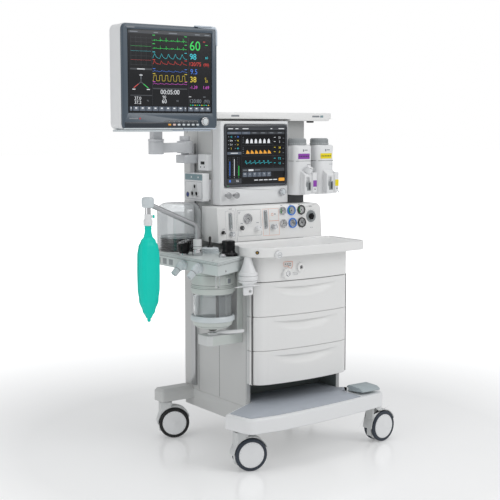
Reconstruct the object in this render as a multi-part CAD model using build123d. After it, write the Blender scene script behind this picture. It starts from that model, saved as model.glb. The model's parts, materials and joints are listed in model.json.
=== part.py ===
"""Anesthesia machine on four twin-wheel casters.

Frame: millimetres, +Z up, +X to the operator's right, +Y to the back.
The origin lies on the floor, under the middle of the cabinet's width and
midway between the front and the rear casters.
"""
import os
from math import cos, hypot, radians, sin

from build123d import *

# ---- clearances -------------------------------------------------------------
running_gap = 0.05        # shaft in its own hole, on the radius
body_gap = 0.5            # between pieces that move apart
panel_gap = 1.5           # seam between neighbouring covers

# ---- casters ----------------------------------------------------------------
wheel_diameter = 125.0
wheel_width = 17.0
tyre_thickness = 13.0
tyre_round = 5.0
hood_width = 22.0         # web between the two wheels
hood_gap = 0.8
fender_gap = 3.0          # air between a tyre and its fender
fender_wall = 4.0
caster_trail = 33.0
caster_outset = 96.0      # stem beyond the cabinet's side, from the casters' own centre line
caster_half_y = 272.0
caster_centre_x = -20.0
caster_stem_radius = 10.0
caster_stem_length = 26.0
caster_head_height = 30.0  # from the top of a wheel to the underside of the legs
axle_radius = 6.0
caster_headings = {"fl": -17.0, "fr": 4.0, "rl": -24.0, "rr": -12.0}

# ---- base and footrest ------------------------------------------------------
skirt_drop = 33.0         # chassis tray below the legs' underside
tray_rise = 39.0          # chassis tray above the legs' underside
leg_width = 72.0
leg_height = 52.0
leg_overhang = 37.0       # leg end beyond the caster stem
footrest_height = 57.0
footrest_wall = 5.0
footrest_overhang = 44.0  # platform end beyond the caster stem
footrest_pad_thickness = 3.0
pedal_width = 94.0
pedal_end_gap = 50.0      # from the pedal to the platform's right end
pedal_reach = 90.0
pedal_hinge_y = -226.0
pedal_pin_radius = 4.0
pedal_lug_width = 9.0

# ---- cabinet ----------------------------------------------------------------
cabinet_half_width = 232.0
cabinet_front = -225.0    # furthest point of the bowed fronts
cabinet_bow = 22.0
cabinet_corner = 50.0
cabinet_side_front = -144.0
cabinet_back = 303.0
cabinet_wall = 18.0
recess_height = 95.0      # foot recess, from the chassis tray to the drawers
foot_recess_back = -40.0
fascia_height = 103.5     # fixed panel, from the drawers to the worktop

# ---- drawers ----------------------------------------------------------------
drawer_height = 131.0
drawer_count = 3
tray_wall = 3.0
tray_depth = 396.0
tray_side_gap = 18.0      # between tray and bay wall, taken by the runners
tray_headroom = 27.0      # tray wall below the top of the drawer's front
drawer_front_wall = 8.0
runner_thickness = 11.0
runner_height = 12.0
runner_level = 40.0       # runner above the drawer's underside
handle_width = 330.0
handle_sag = 24.0
handle_depth = 16.0
handle_below_top = 17.0

# ---- gas outlets on the fixed panel -----------------------------------------
outlet_bore_radius = 7.5
gas_outlets = {           # x, height above the drawers, boss radius
    "common": (-100.0, 29.5, 21.0),
    "auxiliary": (-36.0, 49.5, 18.0),
}

# ---- worktop and console ----------------------------------------------------
worktop_overhang_left = 53.0   # beyond the cabinet's side
worktop_overhang_right = 38.0
worktop_relief = 30.0     # left edge beside the breathing block, beyond the cabinet's side
worktop_front = -287.0
worktop_back = -29.0
worktop_thickness = 35.0
worktop_rim_height = 6.0
worktop_rim_width = 9.0
flush_from_left = 99.0    # flush button, from the worktop's left end
flush_radius = 13.5
console_overhang_left = 51.0
console_inset_right = 3.0
console_height = 137.0
console_lean = 12.0
console_wall = 4.0
console_corner = 26.0
spindle_radius = 3.0
spindle_length = 10.0

# ---- tower ------------------------------------------------------------------
tower_front = 93.0
tower_wall = 4.0
tower_height = 506.0      # from the worktop's underside to the shelf
shelf_overhang_left = 18.0
shelf_overhang_right = 15.0    # beyond the last vaporizer
shelf_front = 34.0
shelf_thickness = 33.0
display_inset = 2.0       # from the cabinet's left side
display_inset_right = 127.0    # from the cabinet's right side
display_front = 38.0
display_lift = 3.0        # above the console
display_panel_width = 305.0
display_panel_height = 245.0
display_panel_inset = 20.0     # from the display's left edge
display_panel_drop = 15.0      # from the shelf
display_panel_thickness = 9.0
display_knob_radius = 14.0
hook_pitch = 38.0

# ---- vaporizers -------------------------------------------------------------
vaporizer_width = 92.0
vaporizer_gap = 24.0
vaporizer_inset = 1.0     # from the display
vaporizer_front = -7.0
vaporizer_depth = 92.0
vaporizer_lift = 34.0     # above the console
vaporizer_height = 202.0
vaporizer_corner = 24.0
dial_margin = 7.0
dial_height = 27.0
dial_offset = -6.0        # from the middle of the case
bar_height = 60.0         # back bar
bar_lift = 64.0           # back bar above the vaporizers' underside

# ---- breathing system -------------------------------------------------------
block_front = -283.0
block_margin = 12.0       # block beyond the dome, sideways
block_plate = 16.0
block_depth = 38.0
dome_radius = 92.0
dome_set_back = -35.0     # dome's front edge behind the column's face
dome_wall = 3.0
dome_height = 185.0
dome_side_gap = 26.0      # from the cabinet's side
flange_width = 4.0
bellows_gap = 9.0         # between bellows and dome
bellows_height = 52.0
bellows_folds = 6
port_radius = 11.0
port_length = 42.0
port_root = 14.0          # thicker root of a port, from the elbow's centre
port_bore_radius = 8.5
collar_radius = 17.0
canister_y = -79.0
canister_radius = 73.0
canister_wall = 3.5
canister_height = 134.0
canister_drop_below_block = 144.0
canister_ring_drop = 84.0
canister_ring_width = 11.0
canister_ring_height = 22.0
canister_clear = 3.0      # from the carrying ring to its bracket
canister_collar_rim = 7.0
bracket_plate = 26.0      # bracket's thickness on the cabinet's side
latch_arm_gap = 28.0      # under the canister
latch_arm_height = 38.0
lever_heading = -38.0
lever_reach = 122.0
trap_from_side = 42.0
trap_y = -212.0
trap_radius = 36.0
trap_neck_radius = 11.0
trap_band_top = 60.0        # above the trap's bottom
trap_height = 118.0

# ---- side rail and the fittings on the block --------------------------------
rail_depth = 12.0
rail_front = 205.0
rail_width = 31.0
rail_lift = 20.0          # above the chassis tray
rail_top_drop = 91.0      # below the shelf
lever_base_from_side = 80.0
lever_base_y = -12.0
sensor_cap_from_side = 78.0
sensor_cap_y = -136.0
apl_from_side = 196.0
apl_y = -10.0
apl_radius = 25.0

# ---- bag arm ----------------------------------------------------------------
bag_post_from_side = 168.0
bag_post_y = -60.0
bag_tube_radius = 9.5
bag_collar_radius = 11.0
bag_reach = 213.0
bag_arm_height = 204.0    # above the block
bag_bend_height = 112.0   # above the block
bag_cap_radius = 23.0
bag_neck_drop = 106.0     # from the top of the arm to the bag
bag_neck_height = 26.0
bag_neck_radius = 13.0
bag_length = 330.0
bag_half_width = 43.0
bag_half_depth = 25.0
mode_disc_radius = 34.0
sensor_cap_radius = 35.0

# ---- gas module -------------------------------------------------------------
gas_module_lift = 4.0     # above the dome
gas_module_height = 111.0

# ---- monitor ----------------------------------------------------------------
monitor_width = 400.0
monitor_height = 372.0
monitor_depth = 150.0
monitor_front = -107.0
monitor_bezel_depth = 30.0
monitor_round = 22.0
monitor_screen_width = 353.0
monitor_screen_height = 292.0
monitor_screen_margin = 20.0   # from the screen to the top edge
monitor_arm_drop = 13.0   # arm below the rail's top
monitor_lift = 70.0       # monitor's lower edge above the arm
monitor_arm_reach = 200.0      # from the post to the swivel, sideways
monitor_joint_y = 90.0
monitor_joint_offset = 50.0    # swivel from the middle of the monitor
monitor_tilt_lift = 70.0  # tilt shaft above the monitor's lower edge
monitor_pole_from_side = 56.0
monitor_pole_y = 205.0
monitor_pole_radius = 16.0
swivel_pin_radius = 11.0
tilt_shaft_radius = 8.0

# ---- levels that follow -----------------------------------------------------
wheel_radius = wheel_diameter / 2
base_underside = wheel_diameter + caster_head_height
skirt_bottom = base_underside - skirt_drop
base_top = base_underside + tray_rise
footrest_top = base_underside + footrest_height
pedal_hinge_z = footrest_top + 10.0
drawer_pitch = drawer_height + panel_gap
drawer_zone_bottom = base_top + recess_height
drawer_zone_top = drawer_zone_bottom + drawer_count * drawer_pitch
worktop_underside = drawer_zone_top + fascia_height
worktop_top = worktop_underside + worktop_thickness
console_top = worktop_top + console_height
tower_bottom = worktop_underside
tower_top = tower_bottom + tower_height
shelf_top = tower_top + shelf_thickness
display_bottom = console_top + display_lift
display_panel_top = tower_top - display_panel_drop
display_panel_bottom = display_panel_top - display_panel_height
display_knob_z = (display_bottom + display_panel_bottom) / 2 + 9.5
hook_z = display_knob_z - 6.0
vaporizer_bottom = console_top + vaporizer_lift
block_top = worktop_underside
dome_top = block_top + dome_height
canister_top = block_top - canister_drop_below_block
canister_ring_top = canister_top - canister_ring_drop
canister_bottom = canister_top - canister_height
latch_arm_top = canister_bottom - latch_arm_gap
trap_bottom = worktop_underside - trap_height
rail_bottom = base_top + rail_lift
rail_top = tower_top - rail_top_drop
bag_arm_top = block_top + bag_arm_height
bag_top = bag_arm_top - bag_neck_drop
bag_bottom = bag_top - bag_length
gas_module_bottom = dome_top + gas_module_lift
gas_module_top = gas_module_bottom + gas_module_height
monitor_arm_z = rail_top - monitor_arm_drop
monitor_bottom = monitor_arm_z + monitor_lift
monitor_screen_bottom = monitor_bottom + monitor_height - monitor_screen_height - monitor_screen_margin
monitor_tilt_z = monitor_bottom + monitor_tilt_lift

# ---- places across the machine that follow ----------------------------------
caster_half_x = cabinet_half_width + caster_outset
bay_half_width = cabinet_half_width - cabinet_wall
tray_half_width = bay_half_width - tray_side_gap
worktop_left = -cabinet_half_width - worktop_overhang_left
worktop_right = cabinet_half_width + worktop_overhang_right
worktop_relief_x = -cabinet_half_width - worktop_relief
flush_x = worktop_left + flush_from_left
console_left = -cabinet_half_width - console_overhang_left
console_right = cabinet_half_width - console_inset_right
console_front = worktop_back
display_left = -cabinet_half_width + display_inset
display_right = cabinet_half_width - display_inset_right
display_panel_left = display_left + display_panel_inset
display_panel_right = display_panel_left + display_panel_width
display_knob_x = display_right - 35.0
hook_left = display_left + 26.0
vaporizer_pitch = vaporizer_width + vaporizer_gap
vaporizer_first_x = display_right + vaporizer_inset + vaporizer_width / 2
vaporizer_last_edge = vaporizer_first_x + vaporizer_pitch + vaporizer_width / 2
dial_radius = vaporizer_width / 2 - dial_margin
shelf_left = -cabinet_half_width - shelf_overhang_left
shelf_right = vaporizer_last_edge + shelf_overhang_right
block_left = -cabinet_half_width - dome_side_gap - 2 * dome_radius - block_margin
dome_x = -cabinet_half_width - dome_side_gap - dome_radius
dome_y = tower_front + dome_set_back + dome_radius
block_back = dome_y + dome_radius + 1.0
bellows_radius = dome_radius - flange_width - dome_wall - bellows_gap
canister_ring_radius = canister_radius + canister_ring_width
canister_x = -cabinet_half_width - bracket_plate - canister_clear - canister_ring_radius
canister_collar_radius = canister_radius + canister_collar_rim
trap_x = -cabinet_half_width - trap_from_side
lever_base_x = -cabinet_half_width - lever_base_from_side
sensor_cap_x = -cabinet_half_width - sensor_cap_from_side
apl_x = -cabinet_half_width - apl_from_side
bag_post_x = -cabinet_half_width - bag_post_from_side
bag_end_x = bag_post_x - bag_reach
monitor_pole_x = -cabinet_half_width - monitor_pole_from_side
monitor_joint_x = monitor_pole_x - monitor_arm_reach
monitor_centre_x = monitor_joint_x - monitor_joint_offset
footrest_left = caster_centre_x - caster_half_x - footrest_overhang
footrest_right = caster_centre_x + caster_half_x + footrest_overhang
pedal_right = footrest_right - pedal_end_gap
pedal_left = pedal_right - pedal_width

caster_corners = {
    "fl": (-1, -1),
    "fr": (1, -1),
    "rl": (-1, 1),
    "rr": (1, 1),
}


def block(x0, x1, y0, y1, z0, z1):
    """A rectangular block between two corners."""
    size = (x1 - x0, y1 - y0, z1 - z0)
    return Pos((x0 + x1) / 2, (y0 + y1) / 2, (z0 + z1) / 2) * Box(*size)


def post(x, y, z0, z1, radius):
    """An upright cylinder."""
    return Pos(x, y, z0) * Cylinder(radius, z1 - z0, align=(Align.CENTER, Align.CENTER, Align.MIN))


def rod(start, direction, length, radius):
    """A cylinder from a point along a direction."""
    place = Plane(origin=start, z_dir=direction)
    return place * Cylinder(radius, length, align=(Align.CENTER, Align.CENTER, Align.MIN))


def slab(points, z0, z1):
    """A polygon drawn in plan and raised between two levels."""
    outline = make_face(Polyline(*points, close=True))
    return Pos(0, 0, z0) * extrude(outline, z1 - z0)


def side_slab(points, x0, x1):
    """A polygon of (y, z) points drawn out along X."""
    outline = make_face(Polyline(*[(x0, y, z) for y, z in points], close=True))
    return extrude(outline, x1 - x0, dir=(1, 0, 0))


def upright_edges(shape):
    return shape.edges().filter_by(Axis.Z)


def group(*solids):
    return Compound(children=list(solids))


# ---- casters ----------------------------------------------------------------

def caster_place(corner):
    """The stem's axis on the floor, with +X along the trail."""
    side, end = caster_corners[corner]
    x = caster_centre_x + side * caster_half_x
    return Pos(x, end * caster_half_y, 0) * Rot(0, 0, caster_headings[corner])


def caster_hood():
    """Web between the wheels, fender over them and the swivel stem."""
    lay = Pos(caster_trail, 0, wheel_radius) * Rot(90, 0, 0)
    swept = wheel_radius + fender_gap
    outside = hood_width + 2 * wheel_width - 8.0
    web = lay * Cylinder(wheel_radius - 4.0, hood_width)
    fender = lay * (Cylinder(swept + fender_wall, outside) - Cylinder(swept, outside + 2.0))
    keep = block(-60, caster_trail + wheel_radius - 0.5, -60, 60, wheel_radius - 2.0, 2 * wheel_diameter)
    fender &= keep
    head = block(-27, caster_trail - 8, -outside / 2, outside / 2, wheel_radius, base_underside - 5.0)
    head = fillet(upright_edges(head), 9.0)
    head -= lay * Cylinder(swept, outside + 2.0)
    spine = block(-27, caster_trail, -hood_width / 2, hood_width / 2, wheel_radius - 34.0, wheel_diameter)
    bridge = lay * (Cylinder(swept + 1.0, hood_width) - Cylinder(wheel_radius - 10.0, hood_width + 2.0))
    bridge &= keep
    hood = web + fender + head + spine + bridge
    hood += post(0, 0, wheel_diameter, base_underside - 1.0, 17.0)
    hood += post(0, 0, base_underside - 2.0, base_underside + caster_stem_length, caster_stem_radius)
    axle_bore = lay * Cylinder(axle_radius + running_gap, 3 * hood_width)
    return hood - axle_bore


def caster_wheels():
    """Two discs on one axle, each with its tyre."""
    lay = Pos(caster_trail, 0, wheel_radius) * Rot(90, 0, 0)
    centre = hood_width / 2 + hood_gap + wheel_width / 2
    disc_radius = wheel_radius - tyre_thickness
    core = Cylinder(axle_radius, 2 * centre)
    tyres = []
    for side in (-1, 1):
        disc = Cylinder(disc_radius, wheel_width)
        core += Pos(0, 0, side * centre) * disc
        tyre = fillet(Cylinder(wheel_radius, wheel_width).edges(), tyre_round)
        tyre -= Cylinder(disc_radius, wheel_width + 2.0)
        tyres.append(lay * Pos(0, 0, side * centre) * tyre)
    return group(lay * core, *tyres)


# ---- base -------------------------------------------------------------------

def footrest_outline():
    """Plan of the front platform, from the left root round to the right one."""
    half = cabinet_half_width
    left, right = footrest_left, footrest_right
    root = cabinet_side_front
    nose_end = (left + 149, root - 228)
    front_end = (right - 94, root - 186)
    start = Line((-half, root), (left, root - 88))
    nose = FilletPolyline((left, root - 88), (left + 26, root - 212), nose_end, radius=38.0)
    front = ThreePointArc(nose_end, (caster_centre_x, root - 218), front_end)
    tip = FilletPolyline(front_end, (right - 40, root - 178), (right, root - 108), (half, root), radius=24.0)
    back = Line((half, root), (-half, root))
    return make_face([start, nose, front, tip, back])


def footrest():
    """Moulded platform over the front leg, open below, reaching into the foot recess."""
    shell = extrude(footrest_outline(), footrest_height)
    shell = chamfer(shell.edges().group_by(Axis.Z)[-1], 6.0)
    tongue_half = bay_half_width - body_gap
    tongue = block(-tongue_half, tongue_half, cabinet_side_front - 24.0, foot_recess_back - body_gap,
                   footrest_height - footrest_wall, footrest_height)
    inside = extrude(offset(footrest_outline(), -footrest_wall), footrest_height - footrest_wall)
    inside += block(-cabinet_half_width + 9, cabinet_half_width - 9, -200, cabinet_side_front + 1,
                    0, footrest_height - footrest_wall)
    shape = Pos(0, 0, base_underside) * (shell + tongue - inside)
    for x0 in (pedal_left - 1 - pedal_lug_width, pedal_right + 1):
        lug = block(x0, x0 + pedal_lug_width, pedal_hinge_y - 9, pedal_hinge_y + 9, footrest_top - 1, pedal_hinge_z + 7)
        hole = rod((x0 - 1, pedal_hinge_y, pedal_hinge_z), (1, 0, 0), pedal_lug_width + 3, pedal_pin_radius + running_gap)
        shape += lug - hole
    return shape


def footrest_pad():
    """Ribbed rubber pad on the platform and into the foot recess."""
    inner = offset(footrest_outline(), -16.0)
    pad = extrude(inner, footrest_pad_thickness)
    pedal_clear = block(pedal_left - 16, footrest_right + 38, -400, pedal_hinge_y + 15, -1, 9)
    tongue_half = bay_half_width - 4.0
    pad += block(-tongue_half, tongue_half, cabinet_side_front - 30.0, foot_recess_back - 4.0,
                 0, footrest_pad_thickness)
    return Pos(0, 0, footrest_top) * (pad - pedal_clear)


def leg(y, x_half, z_top):
    """A cross leg with a socket for each caster stem."""
    bar = block(caster_centre_x - x_half, caster_centre_x + x_half, y - leg_width / 2, y + leg_width / 2,
                base_underside, z_top)
    return fillet(upright_edges(bar), 14.0)


def base_frame():
    """Welded chassis: skirted tray, rear cross leg and hidden front leg."""
    half = cabinet_half_width
    reach = caster_half_x + leg_overhang
    inner_front = cabinet_side_front + body_gap
    tray = block(-half, half, inner_front, cabinet_back, skirt_bottom, base_top)
    tray -= block(-half + 6, half - 6, inner_front - 1, cabinet_back - 6, skirt_bottom - 1, base_top - 10)
    rear = leg(caster_half_y, reach, base_underside + leg_height)
    rear = chamfer(rear.edges().group_by(Axis.Z)[-1], 11.0)
    rear -= block(-half - body_gap, half + body_gap, caster_half_y - leg_width, cabinet_back + body_gap,
                  base_top, base_underside + leg_height + 1)
    front_top = base_underside + footrest_height - footrest_wall - body_gap
    front = leg(-caster_half_y, caster_half_x + 22.0, front_top - 8.0)
    front &= Pos(0, 0, base_underside) * extrude(offset(footrest_outline(), -footrest_wall - body_gap), footrest_height)
    neck = block(-half + 40, half - 40, -caster_half_y, inner_front + 10, base_underside, base_underside + 30)
    chassis = tray + rear + front + neck
    sweep_radius = caster_trail + wheel_radius + fender_gap + fender_wall + 2.0
    for corner in caster_corners:
        socket = post(0, 0, base_underside - 1, base_underside + caster_stem_length + 2.0,
                      caster_stem_radius + running_gap)
        wheel_room = post(0, 0, skirt_bottom - 1, wheel_diameter + fender_gap + fender_wall + 2.0, sweep_radius)
        chassis -= caster_place(corner) * (socket + wheel_room)
    return chassis


def brake_pedal():
    """Foot pedal at the right end of the platform, hinged at its back."""
    low = footrest_top + 2.5
    back = pedal_hinge_y + 6
    front = pedal_hinge_y - pedal_reach
    wedge = side_slab([(front, low + 9), (back, low), (back, low + 19), (back - 12, low + 25), (front + 18, low + 24),
                       (front, low + 15)], pedal_left, pedal_right)
    pin_length = pedal_width + 2 * pedal_lug_width
    pin = rod((pedal_left - pedal_lug_width, pedal_hinge_y, pedal_hinge_z), (1, 0, 0), pin_length, pedal_pin_radius)
    return wedge + pin


# ---- cabinet and drawers ----------------------------------------------------

def bowed_plan(half_width, back_y):
    """Plan of a drawer front: bowed face, rounded corners, straight back."""
    bow_radius = (cabinet_half_width ** 2 + cabinet_bow ** 2) / (2 * cabinet_bow)
    disc = Pos(0, cabinet_front + bow_radius) * Circle(bow_radius)
    depth = back_y - cabinet_front + 1.0
    strip = Pos(0, back_y - depth / 2) * Rectangle(2 * half_width, depth)
    plan = strip & disc
    front_corners = plan.vertices().sort_by(Axis.Y)[:2]
    return fillet(front_corners, cabinet_corner)


def cabinet_shell():
    """Case with a bay for each drawer, runners, a foot recess and the fixed top fascia."""
    half = cabinet_half_width
    front = cabinet_side_front
    case = block(-half, half, front, cabinet_back, base_top, worktop_underside)
    bay = bay_half_width
    bay_back = cabinet_back - cabinet_wall
    divider = drawer_zone_bottom - 2.0
    case -= block(-bay, bay, front - 1, foot_recess_back, base_top - 1, divider - 5.0)
    case -= block(-bay, bay, foot_recess_back + 5, bay_back, base_top + 5, divider - 5.0)
    case -= block(-bay, bay, front - 1, bay_back, divider, drawer_zone_top)
    case -= block(-bay, bay, front + 8, bay_back, drawer_zone_top + 5, worktop_underside - 5)
    for index in range(drawer_count):
        top = drawer_zone_bottom + index * drawer_pitch + runner_level - body_gap
        for side in (-1, 1):
            inner = side * (tray_half_width + body_gap * 2)
            outer = side * bay
            case += block(min(inner, outer), max(inner, outer), front + 4, bay_back,
                          top - runner_height, top)
    fascia = extrude(bowed_plan(half, front), worktop_underside - drawer_zone_top - panel_gap)
    fascia -= block(-half + 22, half - 22, -192, front + 1, -1, 200)
    case += Pos(0, 0, drawer_zone_top + panel_gap) * fascia
    for x, height, radius in gas_outlets.values():
        z = drawer_zone_top + height
        case += rod((x, cabinet_front + 16, z), (0, -1, 0), 24, radius)
        case -= rod((x, cabinet_front + 30, z), (0, -1, 0), 50, outlet_bore_radius)
    return case


def drawer():
    """One moulded drawer: bowed front with a crescent grip and an open tray."""
    low = panel_gap
    front = extrude(bowed_plan(cabinet_half_width, cabinet_side_front - panel_gap), drawer_height)
    front_back = cabinet_front + cabinet_bow + drawer_front_wall
    half = tray_half_width
    hollow = block(-half, half, front_back, cabinet_side_front, -1, drawer_height - 12.0)
    front -= hollow
    front = chamfer(front.faces().sort_by(Axis.Y)[0].edges().filter_by(Plane.XY), 1.5)
    grip_radius = (handle_width ** 2 / 4 + handle_sag ** 2) / (2 * handle_sag)
    grip_top = drawer_height - handle_below_top
    grip = rod((0, cabinet_front - 1, grip_top - handle_sag + grip_radius), (0, 1, 0), handle_depth + 1, grip_radius)
    grip &= block(-handle_width, handle_width, cabinet_front - 2, cabinet_front + 60, 0, grip_top)
    front -= grip
    back = front_back + tray_depth
    tray = block(-half, half, front_back - 1, back, low + 5, low + drawer_height - tray_headroom + 5)
    tray -= block(-half + tray_wall, half - tray_wall, front_back + 0.001 + tray_wall, back - tray_wall,
                  low + 5 + tray_wall, drawer_height + 1)
    for side in (-1, 1):
        inner = side * (half - 0.5)
        outer = side * (half + runner_thickness)
        tray += block(min(inner, outer), max(inner, outer), cabinet_side_front + 4, back,
                      runner_level, runner_level + runner_height)
    return front + tray


# ---- worktop and console ----------------------------------------------------

def worktop_outline():
    left, right = worktop_left, worktop_right
    front, back = worktop_front, worktop_back
    relief = worktop_relief_x
    corner = FilletPolyline((left, back - 143), (left, front + 10), (left + 135, front + 4), radius=86.0)
    edge = ThreePointArc((left + 135, front + 4), (0, front), (right - 130, front + 3))
    far = FilletPolyline((right - 130, front + 3), (right, front + 12), (right, back), radius=62.0)
    rear = Line((right, back), (relief, back))
    inward = Polyline((relief, back), (relief, back - 103), (left, back - 143))
    return make_face([corner, edge, far, rear, inward])


def worktop():
    """Moulded top with a raised rim round a shallow tray."""
    plate = extrude(worktop_outline(), worktop_thickness)
    inner = offset(worktop_outline(), -worktop_rim_width)
    plate -= Pos(0, 0, worktop_thickness - worktop_rim_height) * extrude(inner, worktop_rim_height + 1)
    lip = block(worktop_left + 45, worktop_right - 30, worktop_back - 14, worktop_back, worktop_thickness - worktop_rim_height - 1,
                worktop_thickness + 0.001)
    plate += lip
    plate -= rod((flush_x, worktop_front - 4, 9), (0, 1, 0), 20, flush_radius + body_gap)
    return Pos(0, 0, worktop_underside) * plate


def flush_button():
    """Push button in the worktop's front edge."""
    button = rod((flush_x, worktop_front + 10.0, worktop_underside + 9), (0, -1, 0), 17, flush_radius)
    return fillet(button.edges().sort_by(Axis.Y)[0], 3.0)


console_fittings = {      # from the console's left end, above the worktop, radius
    "auxiliary_flow_knob": (62.0, 33.0, 9.0),
    "gas_outlet_switch": (21.0, 39.0, 8.0),
    "suction_switch": (110.0, 53.0, 9.0),
    "suction_knob": (186.0, 50.0, 11.0),
    "total_flow_knob": (264.0, 52.0, 10.0),
    "system_switch": (459.0, 84.0, 13.0),
}
console_gauges = {
    "suction": (142.0, 89.0, 20.0),
    "pipeline_left": (314.0, 112.0, 16.0),
    "pipeline_middle": (359.0, 112.0, 20.0),
    "pipeline_right": (406.0, 112.0, 20.0),
    "cylinder_left": (316.0, 61.0, 17.0),
    "cylinder_middle": (362.0, 61.0, 20.0),
    "cylinder_right": (409.0, 61.0, 20.0),
}
console_tubes = {         # from the console's left end, above the worktop, length
    "auxiliary": (60.0, 49.0, 66.0),
    "total_flow": (229.0, 47.0, 70.0),
}


def on_console(site):
    """X, Z and size of a fitting given from the console's left end and the worktop."""
    along, above, size = site
    return console_left + along, worktop_top + above, size


def console_face_y(z):
    """Front face of the console at a level."""
    share = (z - worktop_top) / (console_top - worktop_top)
    return console_front + share * console_lean


def console_panel():
    """Hollow instrument panel with a leaning front, rounded at its top right."""
    low = worktop_top
    profile = [(console_front, low), (console_front + console_lean, console_top),
               (tower_front - body_gap, console_top), (tower_front - body_gap, low)]
    shell = side_slab(profile, console_left, console_right)
    right_edge = shell.edges().filter_by(Axis.Y).sort_by(Axis.X)[-2:].sort_by(Axis.Z)[-1]
    shell = fillet(right_edge, console_corner)
    wall = console_wall
    cavity = [(console_front + wall + 2, low + wall), (console_front + console_lean + wall, console_top - wall),
              (tower_front, console_top - wall), (tower_front, low + wall)]
    inside = side_slab(cavity, console_left + wall, console_right - console_corner + wall)
    shell -= inside
    for site in console_fittings.values():
        x, z, radius = on_console(site)
        shell -= rod((x, console_face_y(z) - 5, z), (0, 1, 0), 20, spindle_radius + running_gap)
    x, z, radius = on_console(console_fittings["system_switch"])
    shell -= rod((x, console_face_y(z) - 6, z), (0, 1, 0), 9.0, radius + 9.0)
    return shell


def gauge_set():
    """Round pressure gauges and the two flow tubes, set on the console's face."""
    pieces = []
    for site in console_gauges.values():
        x, z, radius = on_console(site)
        face = console_face_y(z - radius)
        gauge = rod((x, face, z), (0, -1, 0), 9.0, radius)
        gauge = chamfer(gauge.edges().sort_by(Axis.Y)[0], 2.0)
        pieces.append(gauge)
    for site in console_tubes.values():
        x, z, height = on_console(site)
        face = console_face_y(z)
        pieces.append(block(x - 9, x + 9, face - 7, face, z, z + height))
    return group(*pieces)


def panel_knob(name, proud):
    """A knob on a spindle that runs in the console's face."""
    x, z, radius = on_console(console_fittings[name])
    recess = 3.0 if name == "system_switch" else 0.0
    seat = console_face_y(z - radius) - body_gap + recess
    knob = rod((x, seat, z), (0, -1, 0), proud, radius)
    knob = chamfer(knob.edges().sort_by(Axis.Y)[0], 1.5)
    return knob + rod((x, seat - 1, z), (0, 1, 0), spindle_length, spindle_radius)


def panel_toggle(name, proud):
    """A three-winged turn switch."""
    x, z, radius = on_console(console_fittings[name])
    seat = console_face_y(z - radius) - body_gap
    hub = rod((x, seat, z), (0, -1, 0), proud * 0.6, radius * 0.5)
    wing = block(x - radius * 0.26, x + radius * 0.26, seat - proud, seat, z - 1, z + radius)
    toggle = hub
    for turn in (0, 120, 240):
        about = Axis((x, 0, z), (0, 1, 0))
        toggle += wing.rotate(about, turn)
    return toggle + rod((x, seat - 1, z), (0, 1, 0), spindle_length, spindle_radius)


# ---- tower, shelf and display -----------------------------------------------

def tower_shell():
    """Upright case behind the display, open at the back, with the back bar for the vaporizers."""
    half = cabinet_half_width
    wall = tower_wall
    shell = block(-half, half - 4, tower_front, cabinet_back, tower_bottom, tower_top)
    shell -= block(-half + wall, half - 4 - wall, tower_front + wall, cabinet_back + 1, tower_bottom + wall, tower_top - wall)
    bar_low = vaporizer_bottom + bar_lift
    bar_high = bar_low + bar_height
    bar_left = vaporizer_first_x - 40.0
    bar_back = vaporizer_front + vaporizer_depth + body_gap
    bar = block(bar_left, vaporizer_last_edge, bar_back, tower_front + 1, bar_low, bar_high)
    foot = block(bar_left - 4, bar_left + 74, display_front + 4, tower_front + 1, console_top + body_gap,
                 vaporizer_bottom - body_gap)
    strut = block(half - 4 - wall, vaporizer_last_edge, tower_front - 1, tower_front + 22, bar_low, bar_high)
    return shell + bar + foot + strut


def rear_cover():
    """Back panel with the mains inlet and the gas hose connectors."""
    half = cabinet_half_width - 4.0
    y0 = cabinet_back + body_gap
    cover = block(-half + 6, half - 10, y0, y0 + 3.0, tower_bottom + 10, tower_top - 8)
    for index in range(9):
        z = tower_top - 166 + index * 14
        cover -= block(-120, 120, y0 - 1, y0 + 5, z, z + 6)
    for x in (-60, 0, 60):
        cover += rod((x, y0 + 2.9, tower_bottom + 110), (0, 1, 0), 24, 11)
    low = tower_bottom + 70
    inlet = block(110, 160, y0 + 2.9, y0 + 14, low, low + 35)
    inlet -= block(114, 156, y0 + 5, y0 + 15, low + 4, low + 31)
    return cover + inlet


def top_shelf():
    """Flat shelf for a monitor, with a deep fascia on the right and a lamp under it."""
    low = tower_top
    deck = block(shelf_left, shelf_right, shelf_front, cabinet_back + 3, low + 8, shelf_top)
    deck = fillet(upright_edges(deck), 12.0)
    tray = block(shelf_left + 12, shelf_right - 12, shelf_front + 12, cabinet_back - 9, shelf_top - 5, shelf_top + 1)
    deck -= tray
    fascia = block(display_right + 5, shelf_right - 14, shelf_front, tower_front - 6, low, low + 9)
    fascia = fillet(upright_edges(fascia), 6.0)
    seat = block(-cabinet_half_width + 6, cabinet_half_width - 10, tower_front + 1, cabinet_back - 2, low, low + 9)
    lamp = post(shelf_right - 93, (shelf_front + tower_front) / 2, low - 7, low + 1, 15)
    return deck + fascia + seat + lamp


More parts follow.
